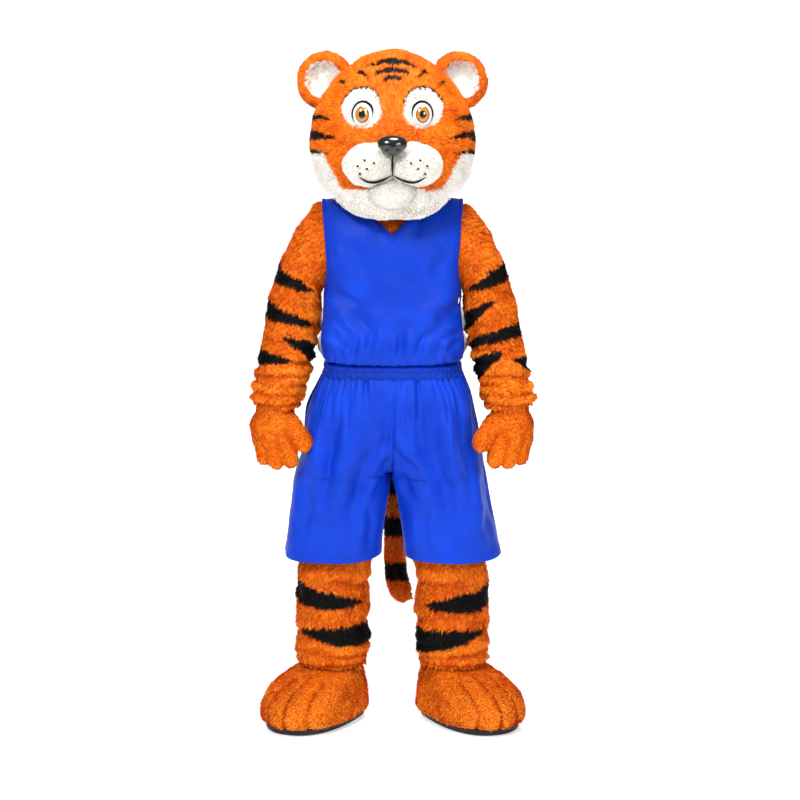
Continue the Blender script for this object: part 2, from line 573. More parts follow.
# stripes: (side q0 in degrees, height at q0, half width at q0, how far round it runs, rise to its tip)
def striped(items, q, h, p, seed, full=1.5, ragged=3.0):
    """1 inside a stripe. Each is a wedge that starts at q0 and tapers to its tip on both sides of it."""
    out = np.zeros(len(q), bool)
    hh = h + ragged * noise(p, 14, seed) + 1.6 * noise(p, 6, seed + 1)
    for q0, h0, half, run_a, run_b, rise_a, rise_b, sag in items:
        d = (q - q0 + 540) % 360 - 180
        for sgn, run, rise in ((1, run_a, rise_a), (-1, run_b, rise_b)):
            s = np.clip(d * sgn / run, 0, None)
            mid = h0 + rise * s + sag * np.sin(np.pi * np.clip(s, 0, 1))
            w = half * np.clip(1 - s ** full, 0, 1) ** 0.8
            out |= (d * sgn >= 0) & (s < 1) & (np.abs(hh - mid) < w)
    return out


# ------------------------------------------------------------------ cloth
def creases(x, h, items, seed, wander=7.0):
    """Soft troughs with a ridge on one side, each a line from (x0, h0) to (x1, h1) with its own width and depth."""
    q = np.stack([x, h, 0 * x], -1)
    x = x + wander * noise(q, 60, seed) + 2.0 * noise(q, 22, seed + 1)
    h = h + wander * noise(q, 60, seed + 2) + 2.0 * noise(q, 22, seed + 3)
    out = np.zeros_like(x)
    for x0, h0, x1, h1, w, amp in items:
        w = w * 1.3
        dx, dh = x1 - x0, h1 - h0
        ln = math.hypot(dx, dh)
        t = ((x - x0) * dx + (h - h0) * dh) / ln ** 2
        d = ((x - x0) * dh - (h - h0) * dx) / ln
        ends = smooth(-0.12, 0.3, t) * (1 - smooth(0.6, 1.12, t))
        out += ends * 2.5 * amp * (0.85 * np.exp(-((d - 0.7 * w) / w) ** 2) - np.exp(-((d + 0.75 * w) / (0.8 * w)) ** 2))
    return out


def turned(G, N, last=True, deep=24.0, inwards=2.6):
    """The grid with a hem turned inside at its last or first rows."""
    if not last:
        g, n = turned(G[::-1], N[::-1], True, deep, inwards)
        return g[::-1], n[::-1]
    up = unit(G[-3] - G[-1])
    rows = [G[-1] - N[-1] * 0.9 - up * 0.7, G[-1] - N[-1] * 1.9 + up * 0.6, G[-1] - N[-1] * inwards + up * 7, G[-1] - N[-1] * inwards + up * deep]
    return np.concatenate([G, np.stack(rows)]), np.concatenate([N, -np.stack([N[-1]] * 4)])


def cloth(name, G, N, disp, mat, wrap=False, hem_last=0.0, hem_first=0.0, seed=0, fine=0.45):
    """A thin shell of cloth on the grid, moved along its normals by disp."""
    p = G.reshape(-1, 3)
    soft = 1.5 * noise(p, 95, seed + 11) + fine * noise(p, 30, seed + 12)
    G = G + N * (disp + soft.reshape(disp.shape))[..., None]
    n2 = N
    if hem_last:
        G, n2 = turned(G, n2, True, hem_last)
    if hem_first:
        G, n2 = turned(G, n2, False, hem_first)
    nv, nu = G.shape[:2]
    F, UV = grid_faces(nv, nu, wrap)
    q = G.reshape(-1, 3)[F]
    mid = (np.cross(q[:, 1] - q[:, 0], q[:, 2] - q[:, 0]) * n2.reshape(-1, 3)[F[:, 0]]).sum(1)
    if (mid < 0).mean() > 0.5:
        F, UV = grid_faces(nv, nu, wrap, True)
    o = make(name, G, F, [mat], None, UV)
    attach(o, "root")
    return o, G


def strip(name, G, lift, thick, mat, wrap=True):
    """A folded binding: the strip's grid runs across it by its rows, with rounded edges."""
    N = grid_normals(G, wrap, CENTRE)
    nv = G.shape[0]
    v = np.linspace(0, 1, nv)
    round_ = lift + thick * (1 - (2 * v - 1) ** 4) ** 0.5 - thick * 0.55 * bump(v, 0.5, 0.10)
    G = G + N * round_[:, None, None]
    F, UV = grid_faces(nv, G.shape[1], wrap)
    q = G.reshape(-1, 3)[F]
    if ((np.cross(q[:, 1] - q[:, 0], q[:, 2] - q[:, 0]) * N.reshape(-1, 3)[F[:, 0]]).sum(1) < 0).mean() > 0.5:
        F, UV = grid_faces(nv, G.shape[1], wrap, True)
    o = make(name, G, F, [mat], None, UV)
    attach(o, "root")
    return o, G


def stitches(name, lines, mat, pitch=5.0, size=(3.1, 0.95, 0.7)):
    """Sewn stitches along lines of points with normals, as one joined mesh."""
    V, F, k = [], [], 0
    for P, N in lines:
        seg = np.linalg.norm(np.diff(P, axis=0), axis=1)
        s = np.concatenate([[0], np.cumsum(seg)])
        for d in np.arange(pitch / 2, s[-1], pitch):
            c = np.array([np.interp(d, s, P[:, a]) for a in range(3)])
            c2 = np.array([np.interp(min(d + 0.6, s[-1]), s, P[:, a]) for a in range(3)])
            n = unit(np.array([np.interp(d, s, N[:, a]) for a in range(3)]))
            t = unit(c2 - c + 1e-9)
            b = np.cross(n, t)
            L2, W2, H2 = size[0] / 2, size[1] / 2, size[2]
            V += [c - t * L2 - n * 0.2, c - b * W2, c + t * L2 - n * 0.2, c + b * W2, c + n * H2 - t * L2 * 0.45, c + n * H2 + t * L2 * 0.45]
            F += [[k, k + 1, k + 4], [k + 1, k + 5, k + 4], [k + 1, k + 2, k + 5], [k + 2, k + 3, k + 5], [k + 3, k + 4, k + 5], [k + 3, k, k + 4]]
            k += 6
    o = make(name, np.array(V), F, [mat])
    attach(o, "root")
    return o


CENTRE = axis_of(0, 0)
SEAM = strand_material("seam_thread", "#0c2cae", 0.7, 0.1)

# jersey
NU, NV = ((136, 150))


def bloused(G):
    """The jersey's foot sagged over the band, most in front."""
    h, k = G[..., 2].copy(), np.exp(-((G[..., 2] - 1104) / 20) ** 2)
    G = G.copy()
    G[..., :2] *= (1 + 0.036 * np.exp(-((h - 1100) / 9) ** 2))[..., None]
    G[..., 2] = h - (0.5 + 13.5 * np.clip(-G[..., 1] / 150, 0, 1) ** 1.5) * k
    return G


front0 = bloused(body_grid(J, JERSEY_CUT, -1, -1, 1, NU, NV, SIDE_S))
nf = grid_normals(front0, False, CENTRE)
x, h = front0[..., 0], front0[..., 2]
FRONT_CREASES = [
    (-196, 1296, -92, 1236, 15, 5.0), (-190, 1262, -60, 1168, 20, 5.6), (-200, 1215, -110, 1150, 17, 4.2), (-198, 1176, -128, 1124, 13, 4.0),
    (196, 1292, 104, 1222, 16, 5.2), (192, 1250, 66, 1180, 21, 5.0), (200, 1204, 120, 1158, 15, 4.6), (197, 1168, 136, 1122, 12, 3.8),
    (-150, 1440, -96, 1330, 22, 3.2), (148, 1436, 100, 1342, 20, 3.4), (-70, 1560, -52, 1440, 17, 2.4), (74, 1556, 48, 1446, 16, 2.6),
    (-58, 1112, -34, 1196, 13, 3.6), (-20, 1106, -8, 1172, 10, 2.8), (26, 1108, 44, 1202, 14, 3.8), (78, 1108, 104, 1180, 12, 3.2), (-104, 1108, -86, 1178, 12, 3.2), (-148, 1106, -138, 1150, 9, 2.8), (146, 1106, 152, 1154, 10, 3.0),
    (-60, 1254, 40, 1228, 24, 2.6), (-30, 1336, 74, 1310, 28, 2.2)]
low = 1 - smooth(1100, 1150, h)
gather = low * smooth(1066, 1092, h) * (1.6 * np.sin(x / 5.2 + 2.2 * noise(np.stack([x, 0 * x, 0 * x], -1), 30, 7)) + 1.1 * noise(np.stack([x, 0 * x, h * 0.3], -1), 9, 8))
disp_f = creases(x, h, FRONT_CREASES, 31) + gather
jf, GF = cloth("shell_jersey_front", front0, nf, disp_f, BLUE, seed=1)
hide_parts("jersey_front")
back0 = bloused(body_grid(J, JERSEY_CUT, 1, -1, 1, 100, 110, SIDE_S))
nb = grid_normals(back0, False, CENTRE)
x, h = back0[..., 0], back0[..., 2]
BACK_CREASES = [
    (-192, 1300, -84, 1226, 17, 5.2), (-188, 1240, -70, 1176, 19, 4.6), (-196, 1190, -124, 1140, 14, 4.0), (190, 1286, 92, 1230, 16, 4.8), (194, 1232, 60, 1160, 20, 5.4), (198, 1182, 130, 1130, 13, 3.8),
    (-146, 1470, -60, 1402, 20, 3.6), (150, 1462, 56, 1410, 21, 3.4), (-40, 1106, -22, 1190, 13, 3.6), (12, 1106, 24, 1176, 11, 3.0), (66, 1106, 84, 1196, 14, 3.6), (-96, 1106, -80, 1172, 12, 3.2), (-70, 1330, 66, 1296, 26, 2.6), (-50, 1250, 60, 1234, 22, 2.4), (120, 1106, 134, 1160, 11, 3.2)]
low = 1 - smooth(1100, 1150, h)
gather = low * smooth(1066, 1092, h) * (1.5 * np.sin(x / 5.6 + 2.0 * noise(np.stack([x, 0 * x, 0 * x], -1), 30, 17)) + 1.0 * noise(np.stack([x, 0 * x, h * 0.3], -1), 9, 18))
jb, GB = cloth("shell_jersey_back", back0, nb, creases(x, h, BACK_CREASES, 37) + gather, BLUE, seed=2)
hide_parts("jersey_back")


def near(G, p):
    """The grid's nearest points to p, by index."""
    A = G.reshape(-1, 3)
    out = np.empty(len(p), int)
    for i in range(0, len(p), 200):
        out[i:i + 200] = np.argmin(((A[None] - p[i:i + 200, None]) ** 2).sum(-1), 1)
    return out


def dressed(P, base, done):
    """Points of the plain form moved as the cloth that lies there was."""
    k = near(base, P.reshape(-1, 3))
    d = (done.reshape(-1, 3)[k] - base.reshape(-1, 3)[k]).reshape(P.shape)
    return P + d


def neck_line(side, grow, n, dressed_on):
    u = np.linspace(-0.9999, 0.9999, n)
    xx = u * (JERSEY_CUT["xNeck"] + grow * 0.8)
    tau = neck_tau(J, JERSEY_CUT, side, xx, grow)
    P = body_rho(J, JERSEY_CUT, side, xx / J["w"][-1], tau)
    return dressed(P, *dressed_on)


ON_F, ON_B = (front0, GF[:front0.shape[0]]), (back0, GB[:back0.shape[0]])
rows = []
for g in np.linspace(-0.5, BAND_W := 19.0, 8):
    rows.append(np.concatenate([neck_line(-1, g, 74, ON_F), neck_line(1, g, 54, ON_B)[::-1]]))
nbnd, GN = strip("binding_neck", np.stack(rows), 0.5, 1.9, BLUE_TRIM)
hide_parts("neckband")
lines = []
for g in (21.5, 25.5):
    P = neck_line(-1, g, 120, ON_F)
    lines.append((P, unit(P * [1, 1, 0])))
    P = neck_line(1, g, 90, ON_B)
    lines.append((P, unit(P * [1, 1, 0])))

bands, sides = {}, {}
for side_name, sign in (("left", 1), ("right", -1)):
    rows = []
    for g in np.linspace(-0.5, 16.0, 7):
        psi = np.linspace(0.02, 1, 30) * math.pi / 2
        s_in = JERSEY_CUT["sIn"] - g * 0.0034
        s = 1 - (1 - s_in) * np.sin(psi)
        hh = JERSEY_CUT["hLow"] - g + (JERSEY_CUT["hFull"] - JERSEY_CUT["hLow"] + g) * (1 - np.cos(psi))
        tau = np.concatenate([(hh - J["h"][0]) / (CAP_H - J["h"][0]), 1 + (TOP - 1) * np.linspace(0.04, 1, 22)])
        s = np.concatenate([s, np.full(22, s_in)])
        f = body_rho(J, JERSEY_CUT, -1, sign * rho_of(np.minimum(s, 1)), tau)
        b = body_rho(J, JERSEY_CUT, 1, sign * rho_of(np.minimum(s, 1)), tau)
        f2, b2 = dressed(f, *ON_F), dressed(b, *ON_B)
        wf = smooth(1290, 1330, f[:, 2:3])
        rows.append(np.concatenate([(f + (f2 - f) * wf)[::-1], b + (b2 - b) * wf]))
    o, G = strip("binding_arm_" + side_name, np.stack(rows), 0.5, 1.9, BLUE_TRIM)
    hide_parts("armband_" + side_name)
    bands[side_name] = o
    for g in (18.4, 22.0):
        k = np.stack(rows)[-1]
        c = k + unit(np.stack(rows)[-1] - np.stack(rows)[-3]) * (g - 16)
        lines.append((c, unit((c - [sign * 60, 0, 0]) * [1, 1, 0])))
    # white panel under the arm
    uu = np.linspace(-1, 1, 34)
    s = 1 - (1 - SIDE_S) * np.abs(uu)
    top = np.interp(arm_h(JERSEY_CUT, s), [0, CAP_H], [0, CAP_H])
    v = np.linspace(0, 1, 70)[:, None]
    hh = J["h"][0] + (top - J["h"][0])[None] * v
    tau = (hh - J["h"][0]) / (CAP_H - J["h"][0])
    G = np.where((uu < 0)[None, :, None], body_rho(J, JERSEY_CUT, -1, sign * rho_of(s)[None] + 0 * tau, tau), body_rho(J, JERSEY_CUT, 1, sign * rho_of(s)[None] + 0 * tau, tau))
    G = bloused(G)
    n = grid_normals(G, False, CENTRE)
    d = creases(G[..., 1], G[..., 2], [(-60, 1270, 30, 1180, 12, 3.6), (70, 1240, -20, 1160, 13, 3.4), (-50, 1180, 40, 1120, 11, 3.2), (0, 1100, 8, 1160, 10, 2.6)], 50 + sign)
    edge = (1 - np.abs(uu) ** 6)[None]
    o, _ = cloth("shell_jersey_side_" + side_name, G, n, d * edge - 0.4 * (1 - edge), WHITE_KNIT, seed=4 + sign)
    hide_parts("jersey_side_" + side_name)
sj = stitches("stitching_jersey", lines, SEAM)
for k in (jf, jb):
    g = GF if k is jf else GB

# shorts: two front and two back panels, gathered under the band
shorts_lines = []
for side_name, sign in (("left", 1), ("right", -1)):
    for side, part in ((-1, "front"), (1, "back")):
        nu, nv = (94, 126) if side < 0 else (76, 96)
        i = np.linspace(0.0025, 1, nu)[None, :]
        top0, low0 = BAND["low"] + 3.0, SHORTS_CUT["hem"]
        a = leg_grid(SH, SHORTS_CUT, side, sign, i, np.array([[top0 - 4]]), 0.12)
        b = leg_grid(SH, SHORTS_CUT, side, sign, i, np.array([[low0]]), 0.12)
        ht = top0 - BAND["dip"] * np.clip(-a[..., 1] / BAND["df"], 0, 1)
        hl = low0 - SHORTS_CUT["hemDip"] * np.abs(b[..., 1]) / 142
        v = np.linspace(0, 1, nv)[:, None] ** 0.92
        hh = ht + (hl - ht) * v
        G = leg_grid(SH, SHORTS_CUT, side, sign, i + 0 * hh, hh, 0.12)
        n = grid_normals(G, False, lambda g: np.stack([np.full(g.shape[:2], sign * 110.0), np.zeros(g.shape[:2]), g[..., 2]], -1))
        over = smooth(0.985, 1.0, i) * smooth(748, 762, hh)
        G[..., 0] -= sign * 2.2 * over
        G[..., 1] -= side * (0.9 if sign > 0 else 0.0) * over
        lap = (1 - smooth(0.0025, 0.014, i)) + 0 * hh
        G[..., 1] -= side * 3.4 * lap
        G[..., 0] += sign * (0.9 if side < 0 else 0.0) * lap
        x, h = G[..., 0], G[..., 2]
        run = i * 300 + 0 * h + 10 * noise(np.stack([x, 0 * x, h], -1), 120, 61)
        r = np.random.default_rng(70 + sign * 2 + side)
        pleat = np.zeros_like(h)
        at_i = 6.0
        while at_i < 296:
            w, amp, ln = r.uniform(4.2, 8.5), r.uniform(4.6, 9.0), r.uniform(90, 380)
            drift = r.uniform(-0.06, 0.06) * (1047 - h)
            fade = 1 - smooth(0.15, 1.0, (1047 - h) / ln)
            wide = w * (1 + 0.9 * np.clip((1047 - h) / 250, 0, 1.4))
            pleat += amp * fade * (np.exp(-((run - at_i - drift) / wide) ** 2) - 0.5 * np.exp(-((run - at_i - drift - 1.6 * wide) / wide) ** 2))
            at_i += r.uniform(9, 22)
        if side < 0:
            items = [(sign * 20, 960, sign * 96, 760, 22, 5.5), (sign * 60, 1010, sign * 150, 640, 26, 6.5), (sign * 214, 980, sign * 206, 620, 24, 5.5), (sign * 150, 990, sign * 224, 700, 20, 4.5), (sign * 8, 820, sign * 74, 742, 14, 5.0), (sign * 12, 780, sign * 60, 690, 13, 4.6), (sign * 120, 760, sign * 140, 530, 26, 5.0), (sign * 254, 800, sign * 282, 540, 20, 5.4), (sign * 70, 680, sign * 92, 520, 18, 4.4), (sign * 10, 900, sign * 40, 840, 14, 3.6)]
        else:
            items = [(sign * 30, 980, sign * 110, 740, 24, 5.8), (sign * 200, 990, sign * 196, 640, 25, 5.4), (sign * 140, 900, sign * 160, 560, 26, 5.6), (sign * 20, 800, sign * 90, 700, 16, 4.8), (sign * 260, 820, sign * 280, 560, 20, 5.0), (sign * 80, 690, sign * 90, 530, 18, 4.6)]
        hang = creases(x, h, items, 80 + sign * 3 + side, 10) * smooth(0, 0.05, i) * (1 - smooth(0.97, 1.0, i) * (h > 730))
        flare = 3.2 * np.sin(i * 17 + 1.3 * sign + side) * (1 - smooth(500, 720, h)) * (1 - (2 * i - 1) ** 6)
        seam = -1.6 * (bump(i, 1.0, 0.012) * (h > 745) + bump(i, 0.0, 0.010))
        hemline = 0.7 * (1 - smooth(20.5, 22.5, h - hl)) - 0.9 * bump(h - hl, 22.5, 1.6)
        o, done = cloth(f"shell_shorts_{part}_{side_name}", G, n, pleat * (1 - bump(i, 0, 0.01)) * (1 - smooth(0.95, 0.99, i)) + hang + flare + seam + hemline, BLUE, hem_last=24, seed=20 + sign * 3 + side)
        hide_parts(f"shorts_{part}_{side_name}")
        k = np.argmin(np.abs((h - hl)[:, 0] - 20))
        for off in (18.5, 22.0):
            idx = np.array([np.interp(off, (h - hl)[::-1, c], np.arange(nv)[::-1]) for c in range(0, nu, 2)])
            P = np.array([[np.interp(q, np.arange(nv), done[:nv, c, a]) for a in range(3)] for q, c in zip(idx, range(0, nu, 2))])
            shorts_lines.append((P, n[k, ::2]))
        for c, lo_h in ((2, 0), (nu - 3, 760)):
            ok = h[:, c] > max(lo_h, 545)
            shorts_lines.append((done[:nv, c][ok][::2], n[:, c][ok][::2]))
ss = stitches("stitching_shorts", shorts_lines, SEAM)

# waistband: two gathered channels of elastic
nu, nv = ((600, 19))
q = np.linspace(0, 1, nu, endpoint=False)[None, :]
v = np.linspace(0, 1, nv)[:, None]
yy, xx = sect(q * 360, BAND["n"])
dd = np.where(yy < 0, BAND["df"], BAND["db"]) * (1 - 0.02 * v)
px, py = (BAND["wLow"] + (BAND["wHigh"] - BAND["wLow"]) * v) * xx, dd * yy
G = np.stack([px, py, BAND["low"] + (BAND["high"] - BAND["low"]) * v - BAND["dip"] * np.clip(-py / BAND["df"], 0, 1)], -1)
n = grid_normals(G, True, CENTRE)
arc = np.stack([px, py, 0 * px], -1)
chan = 2.4 * (np.abs(np.sin(2 * math.pi * v)) ** 0.55) - 1.2
rib = (0.9 * noise(arc * [1, 1, 0], 3.6, 91) + 0.9 * noise(arc + [0, 0, 40] * v[..., None], 6.5, 92)) * (0.55 + 0.45 * np.abs(np.sin(2 * math.pi * v)))
wb, GW = cloth("shell_waistband", G, n, chan * 1.25 + rib * 2.4 - 9.0 * smooth(0.80, 1.0, v) + 0 * q, BAND_BLUE, wrap=True, hem_last=14, seed=9, fine=0.2)
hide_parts("waistband")

print("cloth made")

# ------------------------------------------------------------------ fur suit
ORANGE_ALL = lambda p: np.zeros(len(p), int)


def inside_body(p, T, cut, out):
    """True inside the body's form moved out by out."""
    h = p[:, 2]
    phi = np.arcsin(np.clip((h - CAP_H) / np.maximum(shoulder_h(p[:, 0], cut) - CAP_H, 1), 0, 1))
    w = at(T, h, "w") + out
    d = np.where(p[:, 1] < 0, at(T, h, "df"), at(T, h, "db")) + out
    d = SHOULDER["y"] + (d - SHOULDER["y"]) * np.cos(phi)
    return (np.abs(p[:, 0]) / w) ** CHEST_N + (np.abs(p[:, 1]) / d) ** CHEST_N < 1


def bunch(q, h, items):
    """Folds of fur: (height at q0, q0, half range, width, depth, slope)."""
    out = np.zeros(np.broadcast(q, h).shape)
    for h0, q0, half, w, amp, slope in items:
        d = (q - q0 + 540) % 360 - 180
        y = h - h0 - slope * d / 90
        w = w * 0.92 + 3.6
        out += amp * (np.exp(-(y / w) ** 2) - 0.9 * np.exp(-((y + 1.7 * w) / (0.75 * w)) ** 2)) * (1 - smooth(0.5, 1, np.abs(d) / half))
    return out


# (angle, height, half width, run, run, rise, rise, sag); angle 0 is the outer side, 180 the inner one
ARM_STRIPES = {
    -1: [(0, 1360, 28, 132, 124, -76, -62, 2), (0, 1251, 26, 160, 150, -66, -58, 2), (180, 1110, 27, 108, 112, 58, 50, 0), (0, 1111, 24, 100, 108, -16, -14, 0)],
    1: [(0, 1371, 28, 152, 140, -88, -74, 2), (180, 1192, 26, 112, 106, 84, 70, 0), (0, 1196, 21, 236, 230, -88, -80, 4), (180, 1060, 34, 102, 102, 64, 52, 0), (0, 1084, 22, 70, 66, 26, 18, 0)]}
ARM_FOLDS = [(1072, 250, 120, 9, 8, 5), (1044, 210, 110, 8, 8, -4), (1018, 280, 130, 9, 8, 6), (990, 240, 150, 9, 7, -3), (1108, 190, 90, 10, 7, 8), (1150, 215, 70, 11, 6, 10), (1056, 60, 110, 9, 8, -5), (1024, 90, 120, 9, 8, 4), (992, 60, 140, 9, 6.5, -3), (1096, 40, 90, 10, 6, -6), (1400, 250, 80, 14, 4, 14), (1230, 200, 70, 12, 6, 8), (1190, 160, 60, 11, 6, -8)]
for side_name, sign in (("left", 1), ("right", -1)):
    G, T0, Q = sleeve_grid(sign, 90, 64)
    c = G.mean(1, keepdims=True)
    N = grid_normals(G, True, lambda g, c=c: np.broadcast_to(c, g.shape))
    Qd = np.degrees(Q)
    fold = bunch(Qd if sign > 0 else Qd + 14, G[..., 2], ARM_FOLDS) * smooth(0.15, 0.3, T0)
    outer = np.clip(np.cos(Q), 0, 1)
    shape = (9 if sign > 0 else 12) * np.exp(-((G[..., 2] - 1285) / 95) ** 2) * outer - 9 * np.exp(-((G[..., 2] - 1010) / 55) ** 2) * (0.45 + 0.55 * outer)
    G = G + N * (0.85 * fold + shape)[..., None]
    G = lumps(G, N, 200 + sign, 4.2, 2.2)
    lay = unit(np.gradient(G, axis=0))

    def kind(p, sign=sign):
        t = np.argmin(((p[:, None, :] - AXIS[None]) ** 2).sum(-1), 1)
        cc = AXIS[t]
        qq = np.degrees(np.arctan2(p[:, 1] - cc[:, 1], (p[:, 0] - cc[:, 0]) * sign * 1.0 + (p[:, 2] - cc[:, 2]) * 0.22)) % 360
        return striped(ARM_STRIPES[sign], qq, p[:, 2], p, 210 + sign).astype(int)

    AXIS = c[:, 0]
    o, skin = fur_grid("skin_sleeve_" + side_name, G, True, lambda g, c=c: np.broadcast_to(c, g.shape), kind, lay, tone=0.15 * fold - 0.12)
    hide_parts("sleeve_" + side_name)
    f = strands("fur_sleeve_" + side_name, skin, 60000, 12, 3.2, 0.6, 220 + sign, density=lambda p: ~inside_body(p, S, SUIT_CUT, 3))

LEG_STRIPES = {-1: [(0, 408, 33, 146, 146, -46, -38, -6), (180, 276, 36, 150, 146, 10, 10, -10)], 1: [(0, 398, 33, 140, 140, -42, -34, -10), (180, 248, 36, 146, 140, 34, 28, -6)]}
LEG_FOLDS = [(222, 220, 120, 9, 8, 6), (196, 290, 120, 8, 7, -5), (250, 180, 80, 10, 6, 8), (330, 160, 70, 13, 5, 10), (212, 60, 120, 9, 7, -5), (452, 230, 90, 14, 5, 8), (486, 130, 80, 13, 5, -6), (300, 40, 70, 12, 5, 8), (240, 330, 70, 9, 5, -6)]
for side_name, sign in (("left", 1), ("right", -1)):
    nh, nt = ((100, 63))
    hh = np.concatenate([np.linspace(168, 560, int(nh * 0.7)), np.linspace(566, 1011, nh - int(nh * 0.7))])[:, None]
    th = np.linspace(-1, 1, nt)[None, :]
    A, B = leg_grid(L, LEG_CUT, -1, sign, np.abs(th), hh), leg_grid(L, LEG_CUT, 1, sign, np.abs(th), hh)
    G = np.where((th < 0)[..., None], A, B)
    cen = lambda g: np.stack([np.full(g.shape[:2], sign * 175.0), np.zeros(g.shape[:2]), g[..., 2]], -1)
    N = grid_normals(G, False, cen)
    Qd = (360 + th * 180) % 360 + 0 * hh
    fold = bunch(Qd if sign > 0 else Qd + 18, G[..., 2], LEG_FOLDS)
    G = G + N * fold[..., None]
    G = lumps(G, N, 240 + sign, 4.6, 2.4)
    lay = np.broadcast_to(np.array([0.0, 0, -1]), G.shape)

    def kind(p, sign=sign):
        qq = np.degrees(np.arctan2(p[:, 1], (p[:, 0] * sign - 180))) % 360
        return (striped(LEG_STRIPES[sign], qq, p[:, 2], p, 250 + sign, 2.3) & (p[:, 2] < 540)).astype(int)

    o, skin = fur_grid("skin_leg_" + side_name, G, False, cen, kind, lay, tone=0.14 * fold - 0.22)
    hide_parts("leg_" + side_name)
    f = strands("fur_leg_" + side_name, skin, 44000, 13, 3.1, 0.6, 260 + sign, density=lambda p: (p[:, 2] < 545).astype(float))

# upper body of the suit, under the jersey
upper = []
for name, side, lo, hi in (("suit_front_left", -1, 0.004, 1), ("suit_front_right", -1, -1, -0.004), ("suit_back", 1, -1, 1)):
    G = body_grid(S, SUIT_CUT, side, lo, hi, 24 if side < 0 else 40, 40, 1.0)
    N = grid_normals(G, False, CENTRE)
    if side < 0:
        seam = np.exp(-(G[..., 0] / 5) ** 2) * 3.5
        G = G - N * seam[..., None]
    G = lumps(G, N, 280 + len(upper), 1.2, 0.8)
    o, skin = fur_grid("skin_" + name, G, False, CENTRE, ORANGE_ALL, np.broadcast_to(np.array([0.0, 0, -1]), G.shape))
    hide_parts(name)

    def shown(p, side=side):
        xn = np.clip(np.abs(p[:, 0]) / JERSEY_CUT["xNeck"], 0, 1)
        low = JERSEY_CUT["tip"] if side < 0 else JERSEY_CUT["back"]
        edge = low + (1566 - low) * (xn if side < 0 else xn ** 3)
        return (p[:, 2] > edge - 12).astype(float)

    f = strands("fur_" + name, skin, 5000 if side < 0 else 2500, 11, 2.5, 0.45, 285 + len(upper), density=shown)
    upper.append(o)

# ------------------------------------------------------------------ gloves
def remeshed(build, voxel):
    V, F = build
    me = bpy.data.meshes.new("work")
    me.from_pydata([tuple(a) for a in V], [], [tuple(int(i) for i in f) for f in F])
    ob = bpy.data.objects.new("work", me)
    bpy.context.scene.collection.objects.link(ob)
    m = ob.modifiers.new("r", "REMESH")
    m.mode, m.voxel_size = "VOXEL", voxel
    s = ob.modifiers.new("s", "SMOOTH")
    s.factor, s.iterations = 0.5, 4
    ev = ob.evaluated_get(bpy.context.evaluated_depsgraph_get())
    em = ev.to_mesh()
    n = len(em.vertices)
    P, NN = np.empty(n * 3), np.empty(n * 3)
    em.vertices.foreach_get("co", P)
    em.vertices.foreach_get("normal", NN)
    quads = np.array([list(p.vertices) if len(p.vertices) == 4 else list(p.vertices) + [p.vertices[2]] for p in em.polygons])
    ev.to_mesh_clear()
    bpy.data.objects.remove(ob)
    bpy.data.meshes.remove(me)
    return P.reshape(-1, 3), quads, NN.reshape(-1, 3)


def rounded_bar(a, b, sign, n=20):
    pa, pb = np.array([sign * a[0], a[1], a[2]], float), np.array([sign * b[0], b[1], b[2]], float)
    ra, rb = a[3], b[3]
    d = unit(pb - pa)
    s = unit(np.cross([0.0, 1, 0], d))
    u = np.cross(d, s)
    rings = []
    for c, r, ks in ((pa, ra, np.sin(np.linspace(-math.pi / 2 * 0.97, 0, 7))), (pb, rb, np.sin(np.linspace(0, math.pi / 2 * 0.97, 7)))):
        for k in ks:
            w = np.linspace(0, 2 * math.pi, n, endpoint=False)
            rr = r * math.sqrt(1 - k * k)
            rings.append(c + d * r * k + s * (rr * np.cos(w))[:, None] + u * (rr * np.sin(w))[:, None])
    V = np.concatenate(rings)
    F = []
    m = len(rings)
    for j in range(m - 1):
        for i in range(n):
            F.append([j * n + i, j * n + (i + 1) % n, (j + 1) * n + (i + 1) % n, (j + 1) * n + i])
    V = np.concatenate([V, [rings[0].mean(0), rings[-1].mean(0)]])
    for i in range(n):
        F.append([m * n, (i + 1) % n, i, i])
        F.append([m * n + 1, (m - 1) * n + i, (m - 1) * n + (i + 1) % n, (m - 1) * n + (i + 1) % n])
    return V, [f[:3] if f[2] == f[3] else f for f in F]


